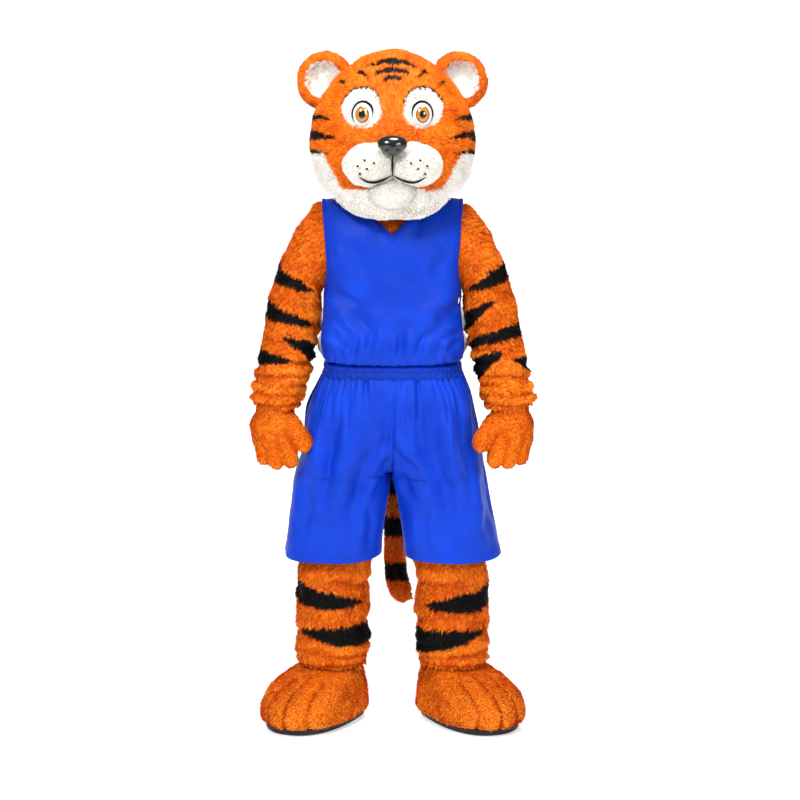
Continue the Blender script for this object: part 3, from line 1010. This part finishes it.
for side_name, sign in (("left", 1), ("right", -1)):
    VV, FF = [], []
    for part in HAND.values():
        V, F = rounded_bar(part[0], part[1], sign)
        k = sum(len(v) for v in VV)
        VV.append(V)
        FF += [[i + k for i in f] for f in F]
    P, Q4, NN = remeshed((np.concatenate(VV), FF), 4.0)
    ok = P[Q4][:, :, 2].max(1) < 986
    Q4 = Q4[ok]
    used = np.unique(Q4)
    back = np.zeros(len(P), int)
    back[used] = np.arange(len(used))
    P, NN, Q4 = P[used], NN[used], back[Q4]
    P = P + NN * (1.6 * noise(P, 30, 301) + 1.0 * noise(P, 14, 302))[:, None]
    lo, hi = P.min(0), P.max(0)
    uvv = np.stack([(P[:, 0] - lo[0]) / (hi[0] - lo[0]), (P[:, 2] - lo[2]) / (hi[2] - lo[2])], 1)
    halfm = NN[:, 1] > 0
    uvv[:, 0] = uvv[:, 0] * 0.48 + halfm * 0.5 + 0.01
    o = make("skin_glove_" + side_name, P, Q4, [BACKING], None, uvv[Q4].reshape(-1, 2), shades(ORANGE_ALL(P), P))
    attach(o, "root")
    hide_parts("glove_" + side_name)
    T3 = np.concatenate([Q4[:, [0, 1, 2]], Q4[:, [0, 2, 3]]])
    away = []
    for part in [HAND[k] for k in HAND if "finger" in k or "thumb" in k]:
        pa, pb = (np.array([sign * c[0], c[1], c[2]], float) for c in part)
        u_ = np.clip(((P - pa) @ (pb - pa)) / ((pb - pa) @ (pb - pa)), 0, 1)[:, None]
        away.append(np.linalg.norm(P - pa - u_ * (pb - pa), axis=1) - part[0][3] - (part[1][3] - part[0][3]) * u_[:, 0])
    away = np.sort(np.stack(away), 0)
    groove = np.exp(-((away[1] - away[0]) / 4.5) ** 2) * (1 - smooth(862, 900, P[:, 2]))
    P = P - NN * (4.0 * groove)[:, None]
    skin = Skin(P, T3, NN, np.broadcast_to(np.array([-0.25 * sign, -0.3, -1.0]), P.shape), ORANGE_ALL, 0.25 - 1.7 * groove)
    f = strands("fur_glove_" + side_name, skin, 29000, 8.5, 2.5, 0.5, 310 + sign, clump=9)
    q = P[T3]

# ------------------------------------------------------------------ boots, soles
for side_name, sign in (("left", 1), ("right", -1)):
    nt, nc = ((76, 116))
    t = np.linspace(0, len(BOOT["h"]) - 1, nt)[:, None]
    turn = np.linspace(0, 1, nc, endpoint=False)[None, :]
    G, fwd, wid = boot_point(BOOT, t + 0 * turn, sign, turn + 0 * t)
    cen = lambda g: np.stack([np.full(g.shape[:2], sign * 205.0), np.full(g.shape[:2], -20.0), np.minimum(g[..., 2], 120)], -1)
    N = grid_normals(G, True, cen)
    # four toes: grooves that run back from the front edge
    toe = np.zeros(G.shape[:2])
    for w0, reach in ((-62, 150), (0, 128), (62, 150)):
        line = w0 * (0.62 + 0.38 * np.clip(fwd / 240, 0, 1))
        toe += -6.5 * np.exp(-((wid - line) / 5.0) ** 2) * smooth(reach - 70, reach, fwd) * (1 - 0.5 * smooth(120, 165, G[..., 2]))
    puff = 5.0 * np.cos(wid / 62 * math.pi + math.pi) * smooth(70, 170, fwd) * -1
    level = unit(N * [1, 1, 0.02])
    G = G + N * (toe + puff * 0.6)[..., None] + level * (10 * np.exp(-((G[..., 2] - 34) / 34) ** 2) + 5 * np.exp(-((G[..., 2] - 100) / 34) ** 2))[..., None]
    G = lumps(G, N, 330 + sign, 2.2, 1.3)
    G[..., 2] = np.maximum(G[..., 2], 20.5)
    a = math.radians(TOE_OUT)
    lay = np.broadcast_to(np.array([sign * math.sin(a), -math.cos(a), -0.5]), G.shape)
    o, skin = fur_grid("skin_boot_" + side_name, G, True, cen, ORANGE_ALL, lay, tone=1.35 + 0.5 * toe)
    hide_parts("boot_" + side_name)
    strands("fur_boot_" + side_name, skin, 38000, 8.5, 2.8, 0.5, 340 + sign, clump=9, density=lambda p: (p[:, 2] > 24).astype(float))
    # sole with a worn edge and a groove
    prof = [(0.0, 1.01), (1.5, 1.025), (6, 1.03), (9, 1.022), (11, 1.022), (13, 1.03), (19, 1.033), (20.4, 1.02)]
    rings = []
    for hgt, k in prof:
        g, _, _ = boot_point(SOLE, np.full((1, 96), np.interp(hgt, SOLE["h"], [0, 1, 2])), sign, np.linspace(0, 1, 96, endpoint=False)[None])
        mid = g.mean(1, keepdims=True)
        g = mid + (g - mid) * np.array([k, k, 1])
        g[..., 2] = hgt
        rings.append(g[0])
    G = np.stack([rings[0] * 0 + np.array([*(rings[0].mean(0)[:2]), 0.0]) + (rings[0] - rings[0].mean(0)) * 0.02] + rings + [rings[-1].mean(0) + (rings[-1] - rings[-1].mean(0)) * 0.02])
    F, UV = grid_faces(G.shape[0], 96, True)
    o = make("rubber_sole_" + side_name, G, F, [RUBBER], None, UV, smooth_faces=False)
    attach(o, "root")
    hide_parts("sole_" + side_name)

# ------------------------------------------------------------------ tail
nt, nc = ((84, 28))
t = np.linspace(0, len(TAIL["h"]) - 1, nt)
C = np.stack([along(TAIL, t, k) for k in ("x", "y", "h")], -1)
R = along(TAIL, t, "r")
R[-1] = 1.0
D = unit(np.gradient(C, axis=0))
sidev = unit(np.array([1.0, 0, 0]) - D * D[:, :1])
upv = np.cross(sidev, D)
w = np.linspace(0, 2 * math.pi, nc, endpoint=False)
G = C[:, None] + R[:, None, None] * (sidev[:, None] * np.cos(w)[None, :, None] + upv[:, None] * np.sin(w)[None, :, None])
G[-1] = C[-1] + D[-1] * 12 + (G[-1] - C[-1]) * 0.3
cen = lambda g: np.broadcast_to(C[:, None], g.shape)
N = grid_normals(G, True, cen)


def tail_kind(p):
    hh = p[:, 2] + 4.5 * noise(p, 10, 351) + 0.06 * p[:, 0]
    k = np.zeros(len(p), int)
    for lo_, hi_ in ((378, 436), (516, 580), (649, 712), (776, 840), (900, 2000)):
        k |= ((hh > lo_) & (hh < hi_)).astype(int)
    return k * (p[:, 1] > 160)


o, skin = fur_grid("skin_tail", lumps(G, N, 350, 1.6, 1.0), True, cen, tail_kind, np.broadcast_to(D[:, None], G.shape))
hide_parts("tail")
strands("fur_tail", skin, 20000, 11, 2.6, 0.5, 352, density=lambda p: (p[:, 1] > 165).astype(float))
print("suit made")

# ------------------------------------------------------------------ head
HR = np.array([[k[0], k[1], k[2], k[3]] for k in np.stack([HEAD["h"], HEAD["w"], HEAD["front"], HEAD["back"]], 1)] + [[2001, 0.4, 7.6, 8.4]])
HT = {"h": HR[:, 0], "w": HR[:, 1], "front": HR[:, 2], "back": HR[:, 3]}


def head_grid(nt, nc, out=0.0):
    t = np.concatenate([np.linspace(0, 13, nt - 6), np.linspace(13.2, 15, 6)])[:, None]
    q = np.linspace(0, 360, nc, endpoint=False)[None, :]
    h, w, fr, bk = (along(HT, t, k) for k in ("h", "w", "front", "back"))
    y, x = sect(q, HEAD_N)
    cy, d = (fr + bk) / 2, (bk - fr) / 2
    return np.stack([np.maximum(w + out, 0.4) * x, cy + np.maximum(d + out, 0.4) * y, h + out * (smooth(1900, 2000, h) - (1 - smooth(1511, 1560, h))) + 0 * q], -1)


def inside_head(p, out):
    h = np.clip(p[:, 2], 1512, 1999)
    w, fr, bk = (np.interp(h, HR[:, 0], HR[:, i]) for i in (1, 2, 3))
    cy, d = (fr + bk) / 2, (bk - fr) / 2
    return (np.abs(p[:, 0]) / (w + out)) ** HEAD_N + (np.abs(p[:, 1] - cy) / (d + out)) ** HEAD_N < 1


PATCH = np.array([(38, 1788), (34, 1832), (54, 1872), (94, 1882), (130, 1858), (142, 1818), (120, 1782), (76, 1768)], float)


def in_patch(x, h, grow=0.0):
    """Inside the white patch round an eye, by the angle from its middle."""
    cx, ch = 86.0, 1822.0
    a = np.arctan2(h - ch, np.abs(x) - cx)
    pa = np.arctan2(PATCH[:, 1] - ch, PATCH[:, 0] - cx)
    pr = np.hypot(PATCH[:, 0] - cx, PATCH[:, 1] - ch)
    o = np.argsort(pa)
    r = np.interp(a, pa[o], pr[o], period=2 * math.pi)
    return np.hypot(np.abs(x) - cx, h - ch) < r + grow


def wedge(x, h, x0, h0, x1, h1, w0, w1=0.0, sag=0.0):
    """Inside a stripe that narrows from w0 at (x0, h0) to w1 at (x1, h1)."""
    dx, dh = x1 - x0, h1 - h0
    ln = math.hypot(dx, dh)
    t = ((x - x0) * dx + (h - h0) * dh) / ln ** 2
    d = ((x - x0) * dh - (h - h0) * dx) / ln - sag * np.sin(np.pi * np.clip(t, 0, 1))
    return (t > 0) & (t < 1) & (np.abs(d) < (w0 + (w1 - w0) * t) * np.clip(4.5 * t + 0.35, 0, 1) ** 0.5)


def head_kind(p):
    jit = 3.6 * noise(p, 10, 401) + 1.6 * noise(p, 5, 402)
    x, y, h = p[:, 0], p[:, 1], p[:, 2] + jit
    ax = np.abs(x) + jit
    front = y < 30
    k = np.zeros(len(p), int)
    ruff = front & ((ax > 118 + 0.55 * np.clip(h - 1560, 0, 200)) & (h < 1700) & (y < -20))
    k[ruff | ((h < 1598) & front)] = 2
    k[front & in_patch(p[:, 0], p[:, 2]) & (y < -60)] = 2
    b = np.zeros(len(p), bool)
    for h0, half, thick, rise in ((1958, 74, 10, -16), (1932, 52, 9, -12), (1908, 30, 8, -8)):
        b |= (ax < half) & (np.abs(h - (h0 + rise * (ax / half) ** 2)) < thick * np.sqrt(np.clip(1 - ax / half, 0, 1)) + 0.5) & (y < 100)
    for x0, h0, x1, h1, w0, sag in ((96, 1934, 66, 1898, 8.5, 3), (150, 1906, 122, 1876, 7.5, 3)):
        b |= wedge(ax, h, x0, h0, x1, h1, w0, 0, sag) & front
    for x0, h0, x1, h1, w0 in ((246, 1802, 166, 1790, 15), (250, 1752, 150, 1738, 17), (248, 1700, 172, 1696, 13)):
        b |= wedge(ax, h, x0, h0, x1, h1, w0, 0, 5) & (y < 120)
    # the back carries broad bars that taper to both sides
    for h0, half, thick, rise in ((1950, 110, 15, -20), (1896, 150, 18, -16), (1836, 120, 17, -14), (1776, 160, 19, -16), (1712, 118, 17, -14), (1652, 140, 16, -12)):
        b |= (y > 60) & (ax < half) & (np.abs(h - (h0 + rise * (ax / half) ** 2)) < thick * np.sqrt(np.clip(1 - ax / half, 0, 1)))
    for h0, x1 in ((1802, 0), (1752, 0), (1700, 0)):
        a = np.degrees(np.arctan2(np.abs(p[:, 0]), -p[:, 1]))
        s = np.clip((a - 88) / 42, 0, 1)
        b |= (a >= 88) & (a < 130) & (np.abs(h - h0 - 10 * s) < 16 * (1 - s) ** 0.7)
    k[b & (k == 0)] = 1
    k[front & (y < -60) & in_patch(p[:, 0], p[:, 2], 4.5) & ~in_patch(p[:, 0], p[:, 2], -0.5) & (p[:, 2] > 1836)] = 1
    return k


nt, nc = ((112, 124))
G = head_grid(nt, nc)
cen = axis_of(0, 0)
N = grid_normals(G, True, lambda g: np.stack([0 * g[..., 0], np.full(g.shape[:2], -20.0), np.full(g.shape[:2], 1750.0)], -1))
N[-1] = [0, 0, 1]
brow = 7.0 * np.exp(-(((np.abs(G[..., 0]) - 86) / 50) ** 2 + ((G[..., 2] - 1890) / 20) ** 2)) * (G[..., 1] < 0)
socket = -7.0 * np.exp(-(((np.abs(G[..., 0]) - 84) / 40) ** 2 + ((G[..., 2] - 1806) / 44) ** 2)) * (G[..., 1] < 0)
bridge = 10.0 * np.exp(-((G[..., 0] / 36) ** 2 + ((G[..., 2] - 1756) / 44) ** 2)) * (G[..., 1] < 0)
cheek = 5.0 * np.exp(-(((np.abs(G[..., 0]) - 168) / 40) ** 2 + ((G[..., 2] - 1640) / 50) ** 2)) * (G[..., 1] < 0)
G = G + N * (brow + socket + bridge + cheek)[..., None]
G = lumps(G, N, 405, 2.2, 1.2)
hub = np.array([0.0, -300, 1716])
lay = unit(G - hub + np.array([0, 0, -40.0]))
open_neck = lambda p: ~((p[:, 2] < NECK_CUT["h"]) & (p[:, 1] > NECK_CUT["y"]))
HEAD_SKIN = {}
for part, ok in (("face", lambda p: open_neck(p) & (p[:, 1] < 8)), ("back", lambda p: open_neck(p) & (p[:, 1] >= 8))):
    o, skin = fur_grid("skin_head_" + part, G, True, lambda g: np.stack([0 * g[..., 0], np.full(g.shape[:2], -20.0), np.full(g.shape[:2], 1750.0)], -1), head_kind, lay, keep=ok)
    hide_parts(*(["head_face", "eye_patch_left", "eye_patch_right"] if part == "face" else ["head_back"]))
    HEAD_SKIN[part] = skin


def head_fur(p, out=0.0):
    eye = np.hypot((np.abs(p[:, 0]) - 84) / 33, (p[:, 2] - 1806) / 39) < 1
    return (open_neck(p) & ~(eye & (p[:, 1] < -60)) & ~inside_lobes(p, -6)).astype(float)


def inside_lobes(p, out):
    a = np.zeros(len(p), bool)
    for s in (1, -1):
        a |= ((p[:, 0] - s * MUZZLE["x"]) / (MUZZLE["rx"] + out)) ** 2 + ((p[:, 1] - MUZZLE["y"]) / (MUZZLE["ry"] + out)) ** 2 + ((p[:, 2] - MUZZLE["h"]) / (MUZZLE["rz"] + out)) ** 2 < 1
    a |= (p[:, 0] / (CHIN["rx"] + out)) ** 2 + ((p[:, 1] - CHIN["y"]) / (CHIN["ry"] + out)) ** 2 + ((p[:, 2] - CHIN["h"]) / (CHIN["rz"] + out)) ** 2 < 1
    return a


strands("fur_head_face", HEAD_SKIN["face"], 66000, 11, 2.5, 0.55, 410, density=lambda p: head_fur(p) * (p[:, 1] < 8), clump=9, long=lambda p: np.where(in_patch(p[:, 0], p[:, 2], 4) & (p[:, 1] < -60), 0.6, 1.0) * (0.55 + 0.45 * smooth(1530, 1600, p[:, 2])))
strands("fur_head_back", HEAD_SKIN["back"], 46000, 12, 2.8, 0.55, 415, density=lambda p: head_fur(p) * (p[:, 1] >= 8), clump=10)

# lining inside the foam, and the rim of the neck opening
G = head_grid(40, 56, -20.0)
F, UV = grid_faces(40, 56, True, True)
P = G.reshape(-1, 3)
ok = open_neck(P[F].mean(1)) & (P[F][:, :, 2].mean(1) > 1530)
o = make("lining_head", P, F[ok], [FELT], None, UV.reshape(-1, 4, 2)[ok].reshape(-1, 2))
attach(o, "root")
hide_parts("head_face")


def ball(x, y, h, rx, ry, rz, nv=28, nu=40, turn=0.0):
    """A grid over an ellipsoid with its poles in front and behind."""
    t = np.linspace(0.02, math.pi - 0.02, nv)[:, None]
    w = np.linspace(0, 2 * math.pi, nu, endpoint=False)[None, :]
    X, Y, Zz = rx * np.sin(t) * np.cos(w), -ry * np.cos(t) + 0 * w, rz * np.sin(t) * np.sin(w)
    c, s = math.cos(turn), math.sin(turn)
    return np.stack([x + X * c - Y * s, y + X * s + Y * c, h + Zz], -1)


def middle(x, y, h):
    return lambda g: np.stack([np.full(g.shape[:2], float(x)), np.full(g.shape[:2], float(y)), np.full(g.shape[:2], float(h))], -1)


WHITE_ALL = lambda p: np.full(len(p), 2)
for side_name, sign in (("left", 1), ("right", -1)):
    M = MUZZLE
    G = ball(sign * M["x"], M["y"], M["h"], M["rx"] - 2, M["ry"] - 2, M["rz"] - 2)
    N = grid_normals(G, True, middle(sign * M["x"], M["y"], M["h"]))
    lay = unit(G - np.array([0, -300.0, 1700]))
    o, skin = fur_grid("skin_muzzle_" + side_name, lumps(G, N, 420 + sign, 1.2, 0.8), True, middle(sign * M["x"], M["y"], M["h"]), WHITE_ALL, lay)
    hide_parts("muzzle_" + side_name)

    def own(p, sign=sign):
        nose = (p[:, 0] / 36) ** 2 + ((p[:, 1] + 280) / 26) ** 2 + ((p[:, 2] - 1716) / 27) ** 2 < 1
        return (~inside_head(p, -4) & (p[:, 0] * sign > -2) & ~nose).astype(float)

    strands("fur_muzzle_" + side_name, skin, 13000, 8.5, 2.1, 0.55, 425 + sign, density=own, clump=7, swirl=0.5)
    # eye: white dome, rim, iris, pupil and a small glint
    rows = np.array([0.02, 0.12, 0.2, 0.28, 0.34, 0.40, 0.46, 0.52, 0.58, 0.64, 0.70, 0.74, 0.80, 0.9, 1.05, 1.25, 1.5, 1.8, 2.2])
    w = np.linspace(0, 2 * math.pi, 48, endpoint=False)[None, :]
    t = rows[:, None]
    X, Y, Zz = 29 * np.sin(t) * np.cos(w), -27.5 * np.cos(t) + 0 * w, 35 * np.sin(t) * np.sin(w)
    a = sign * 0.10
    G = np.stack([sign * EYE["x"] + X * math.cos(a) - Y * math.sin(a), EYE["y"] + 0.8 + X * math.sin(a) + Y * math.cos(a), EYE["h"] + Zz], -1)
    F, UV = grid_faces(len(rows), 48, True)
    row = np.repeat(np.arange(len(rows) - 1), 48)
    mi = np.select([row < 4, row < 9, row < 11], [2, 1, 2], 0)
    cap = G[0].mean(0) + [0, -0.4, 0]
    Pn = np.concatenate([G.reshape(-1, 3), [cap]])
    o = make("eye_dome_" + side_name, Pn, np.concatenate([F, np.array([[i, (i + 1) % 48, len(Pn) - 1, len(Pn) - 1] for i in range(48)])])[: len(F)], [EYE_WHITE, IRIS, PUPIL], mi, UV)
    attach(o, "root")
    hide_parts("eye_" + side_name)
    g = ball(sign * (EYE["x"] - 8) , EYE["y"] - 25.6, EYE["h"] + 12, 3.6, 2.2, 4.4, 10, 16)
    F2, UV2 = grid_faces(10, 16, True)
    o2 = make("eye_glint_" + side_name, g, F2, [EYE_WHITE], None, UV2)
    g = ball(sign * EYE["x"], EYE["y"] + 9, EYE["h"] + 0.5, 34.5, 25, 41, 22, 48, sign * 0.30)
    F3, UV3 = grid_faces(22, 48, True)
    o3 = make("eye_rim_" + side_name, g, F3, [FELT], None, UV3)
    for q in (o2, o3):
        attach(q, "root")
    # ear: a padded disc, dished in front, with a pale lining
    E = EAR
    t = np.linspace(0.03, math.pi - 0.03, 32)[:, None]
    w = np.linspace(0, 2 * math.pi, 50, endpoint=False)[None, :]
    X, Y, Zz = E["r"] * np.sin(t) * np.cos(w), -E["t"] * np.cos(t) + 0 * w, E["r"] * np.sin(t) * np.sin(w)
    rr = np.hypot(X, Zz) / E["r"]
    Y = Y + np.where(Y < 0, 1, 0) * (30 * np.exp(-((rr / 0.56) ** 4)) - 6 * bump(rr, 0.8, 0.16)) * (t < math.pi / 2)

    def place(X, Y, Zz, sign=sign):
        a, b = sign * math.radians(EAR["lean"]), sign * 0.2
        X2, Z2 = X * math.cos(a) + Zz * math.sin(a), -X * math.sin(a) + Zz * math.cos(a)
        return np.stack([sign * EAR["x"] + X2 * math.cos(b) - Y * math.sin(b), EAR["y"] + X2 * math.sin(b) + Y * math.cos(b), EAR["h"] + Z2], -1)

    G = place(X, Y, Zz)
    N = grid_normals(G, True, middle(sign * E["x"], E["y"] + 6, E["h"]))
    lay = unit(G - np.array([sign * 130.0, 30, 1860]))
    o, skin = fur_grid("skin_ear_" + side_name, lumps(G, N, 440 + sign, 1.6, 1.0), True, middle(sign * E["x"], E["y"] + 6, E["h"]), ORANGE_ALL, lay)
    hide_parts("ear_" + side_name)

    def ear_own(p, sign=sign):
        d = np.hypot(p[:, 0] - sign * EAR["x"], p[:, 2] - EAR["h"])
        return (~inside_head(p, -3) & ~((d < 44) & (p[:, 1] < EAR["y"] + 4))).astype(float)

    strands("fur_ear_" + side_name, skin, 16000, 11, 2.6, 0.6, 445 + sign, density=ear_own, clump=9)
    r = np.linspace(0.5, 54, 20)[:, None]
    w = np.linspace(0, 2 * math.pi, 56, endpoint=False)[None, :]
    k = r / E["r"]
    Yd = -E["t"] * np.sqrt(1 - k ** 2) + 30 * np.exp(-((k / 0.56) ** 4)) - 6 * bump(k, 0.8, 0.16) - 2.0 + 0 * w
    G = place(r * np.cos(w), Yd, r * np.sin(w))
    o, skin = fur_grid("skin_ear_inner_" + side_name, G, True, middle(sign * E["x"], E["y"] + 60, E["h"]), WHITE_ALL, np.broadcast_to(np.array([0.3 * sign, 0, 1.0]), G.shape))
    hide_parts("ear_inner_" + side_name)
    strands("fur_ear_inner_" + side_name, skin, 5500, 13, 2.4, 0.5, 455 + sign, density=lambda p: (~inside_head(p, -2)).astype(float), swirl=0.4)

# chin
G = ball(0, CHIN["y"], CHIN["h"], CHIN["rx"] - 2, CHIN["ry"] - 2, CHIN["rz"] - 2)
N = grid_normals(G, True, middle(0, CHIN["y"], CHIN["h"]))
o, skin = fur_grid("skin_chin", lumps(G, N, 460, 1.2, 0.8), True, middle(0, CHIN["y"], CHIN["h"]), WHITE_ALL, np.broadcast_to(np.array([0.0, 0.1, -1]), G.shape))
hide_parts("chin")
strands("fur_chin", skin, 9500, 9, 2.1, 0.55, 465, density=lambda p: (~inside_head(p, -4)).astype(float), clump=7, swirl=0.5)

# nose: a rounded triangle with two nostrils
g = ball(0, NOSE["y"], NOSE["h"], NOSE["rx"], NOSE["ry"], NOSE["rz"], 34, 50)
zz = (g[..., 2] - NOSE["h"]) / NOSE["rz"]
g[..., 0] *= 1 + 0.10 * zz - 0.38 * np.clip(-zz, 0, 1) ** 1.2
g[..., 2] += 3.0 * (np.abs(g[..., 0]) / 40) ** 2 * (zz > 0)
nost = 5.5 * np.exp(-(((np.abs(g[..., 0]) - 17) / 7) ** 2 + ((g[..., 2] - 1708) / 6) ** 2)) * (g[..., 1] < NOSE["y"])
g[..., 1] += nost
F, UV = grid_faces(34, 50, True)
o = make("nose_moulded", g, F, [GLOSS_BLACK], None, UV)
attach(o, "root")
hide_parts("nose")


# mouth line and whisker dots
def front_y(x, h):
    """The front of the muzzle and the chin at x and h."""
    out = np.full(np.shape(x), 0.0)
    for cx, M in ((MUZZLE["x"], MUZZLE), (-MUZZLE["x"], MUZZLE), (0, CHIN)):
        k = 1 - ((x - cx) / M["rx"]) ** 2 - ((h - M["h"]) / M["rz"]) ** 2
        out = np.minimum(out, np.where(k > 0, M["y"] - M["ry"] * np.sqrt(np.maximum(k, 0)), 0))
    hh = np.clip(h, 1512, 1999)
    w, fr, bk = (np.interp(hh, HR[:, 0], HR[:, i]) for i in (1, 2, 3))
    cy, d = (fr + bk) / 2, (bk - fr) / 2
    return np.minimum(out, cy - d * np.maximum(1 - (np.abs(x) / w) ** HEAD_N, 0) ** (1 / HEAD_N))


def tube(pts, radius, nc=8):
    d = unit(np.gradient(pts, axis=0))
    s = unit(np.cross(d, [0.0, -1, 0.02]))
    u = np.cross(s, d)
    w = np.linspace(0, 2 * math.pi, nc, endpoint=False)
    rad = radius * np.sqrt(np.clip(np.sin(np.linspace(0.06, math.pi - 0.06, len(pts))), 0, 1))[:, None, None]
    return pts[:, None] + rad * (s[:, None] * np.cos(w)[None, :, None] + u[:, None] * np.sin(w)[None, :, None])


parts, faces, k = [], [], 0
for sign in (1, -1):
    a = np.linspace(0, 1, 40)
    x = sign * (1.5 + 92 * a)
    h = 1634 - 26 * np.sin(a * math.pi * 0.62) + 20 * a ** 3
    P = np.stack([x, front_y(x, h) - 5.5, h], -1)
    P[:, 1] = np.convolve(np.concatenate([[P[0, 1]] * 3, P[:, 1], [P[-1, 1]] * 3]), np.ones(7) / 7, "valid")
    t_ = tube(P, 3.6)
    F, _ = grid_faces(40, 8, True)
    parts.append(t_.reshape(-1, 3))
    faces.append(F + k)
    k += 320
h = np.linspace(1694, 1632, 24)
P = np.stack([0 * h, front_y(0 * h + 6, h) - 5.0, h], -1)
parts.append(tube(P, 3.0).reshape(-1, 3))
faces.append(grid_faces(24, 8, True)[0] + k)
k += 24 * 8
for sign in (1, -1):
    for dx, dh in ((52, 1668), (78, 1676), (72, 1652), (98, 1660), (92, 1638)):
        g = ball(sign * dx, float(front_y(np.array(sign * dx), np.array(float(dh)))) - 5.0, dh, 3.4, 2.6, 3.4, 8, 12)
        parts.append(g.reshape(-1, 3))
        faces.append(grid_faces(8, 12, True)[0] + k)
        k += 96
o = make("face_lines", np.concatenate(parts), np.concatenate(faces), [strand_material("face_line", "#120e0d", 0.8, 0.0)])
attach(o, "root")

# ------------------------------------------------------------------ floor, light and camera
scene = bpy.context.scene
scene.view_settings.view_transform = "Standard"
scene.view_settings.look = "None"
FLOOR = SHOULDER_H / -1000
me = bpy.data.meshes.new("floor")
me.from_pydata([(-40, -12, FLOOR), (40, -12, FLOOR), (40, 60, FLOOR), (-40, 60, FLOOR)], [], [(0, 1, 2, 3)])
floor = bpy.data.objects.new("floor", me)
scene.collection.objects.link(floor)
m, nt, p = nodes_of("floor_paint")
n = noise_node(nt, 3, 2)
nt.links.new(ramp(nt, n.outputs["Fac"], 0.3, 0.7, 0.22, 0.27), p.inputs["Roughness"])
p.inputs["Base Color"].default_value = (0.90, 0.90, 0.90, 1)
p.inputs["Emission Color"].default_value = (1, 1, 1, 1)
p.inputs["Emission Strength"].default_value = 0.46
p.inputs["Specular IOR Level"].default_value = 0.35
me.materials.append(m)

world = bpy.data.worlds.new("studio")
scene.world = world
world.use_nodes = True
bg = next(n for n in world.node_tree.nodes if n.type == "BACKGROUND")
bg.inputs["Color"].default_value = (1, 1, 1, 1)
bg.inputs["Strength"].default_value = 0.32


def area_light(name, place, aim, size, power, colour=(1, 1, 1)):
    d = bpy.data.lights.new(name, "AREA")
    d.shape, d.size, d.energy, d.color = "DISK", size, power, colour
    o = bpy.data.objects.new(name, d)
    o.location = place
    o.rotation_mode = "QUATERNION"
    o.rotation_quaternion = (Vector(aim) - Vector(place)).to_track_quat("-Z", "Y")
    scene.collection.objects.link(o)


area_light("key", (-2.2, -4.0, 3.0), (0, 0, -0.4), 1.1, 196)
area_light("fill", (2.4, -4.4, 1.2), (0, 0, -0.7), 1.8, 84)
area_light("top", (0.3, -1.2, 3.4), (0, 0, -0.5), 1.5, 112)
me = bpy.data.meshes.new("backdrop")
me.from_pydata([(-9, 7, FLOOR - 0.5), (9, 7, FLOOR - 0.5), (9, 7, 8), (-9, 7, 8)], [], [(0, 1, 2, 3)])
backdrop = bpy.data.objects.new("backdrop", me)
scene.collection.objects.link(backdrop)
m, nt, p = nodes_of("backdrop_paint")
n = noise_node(nt, 1, 2)
nt.links.new(ramp(nt, n.outputs["Fac"], 0.3, 0.7, 0.85, 0.9), p.inputs["Roughness"])
p.inputs["Base Color"].default_value = (0.8, 0.8, 0.8, 1)
p.inputs["Emission Color"].default_value = (1, 1, 1, 1)
p.inputs["Emission Strength"].default_value = 0.85
me.materials.append(m)

cam = bpy.data.cameras.new("camera")
cam.lens, cam.sensor_width = 83.08, 36.0
cam.shift_x = 0.0094
camera = bpy.data.objects.new("camera", cam)
camera.location = (0, -5.5, 0.060)
camera.rotation_euler = (math.radians(90 - 6.5595), 0, 0)
scene.collection.objects.link(camera)
scene.camera = camera
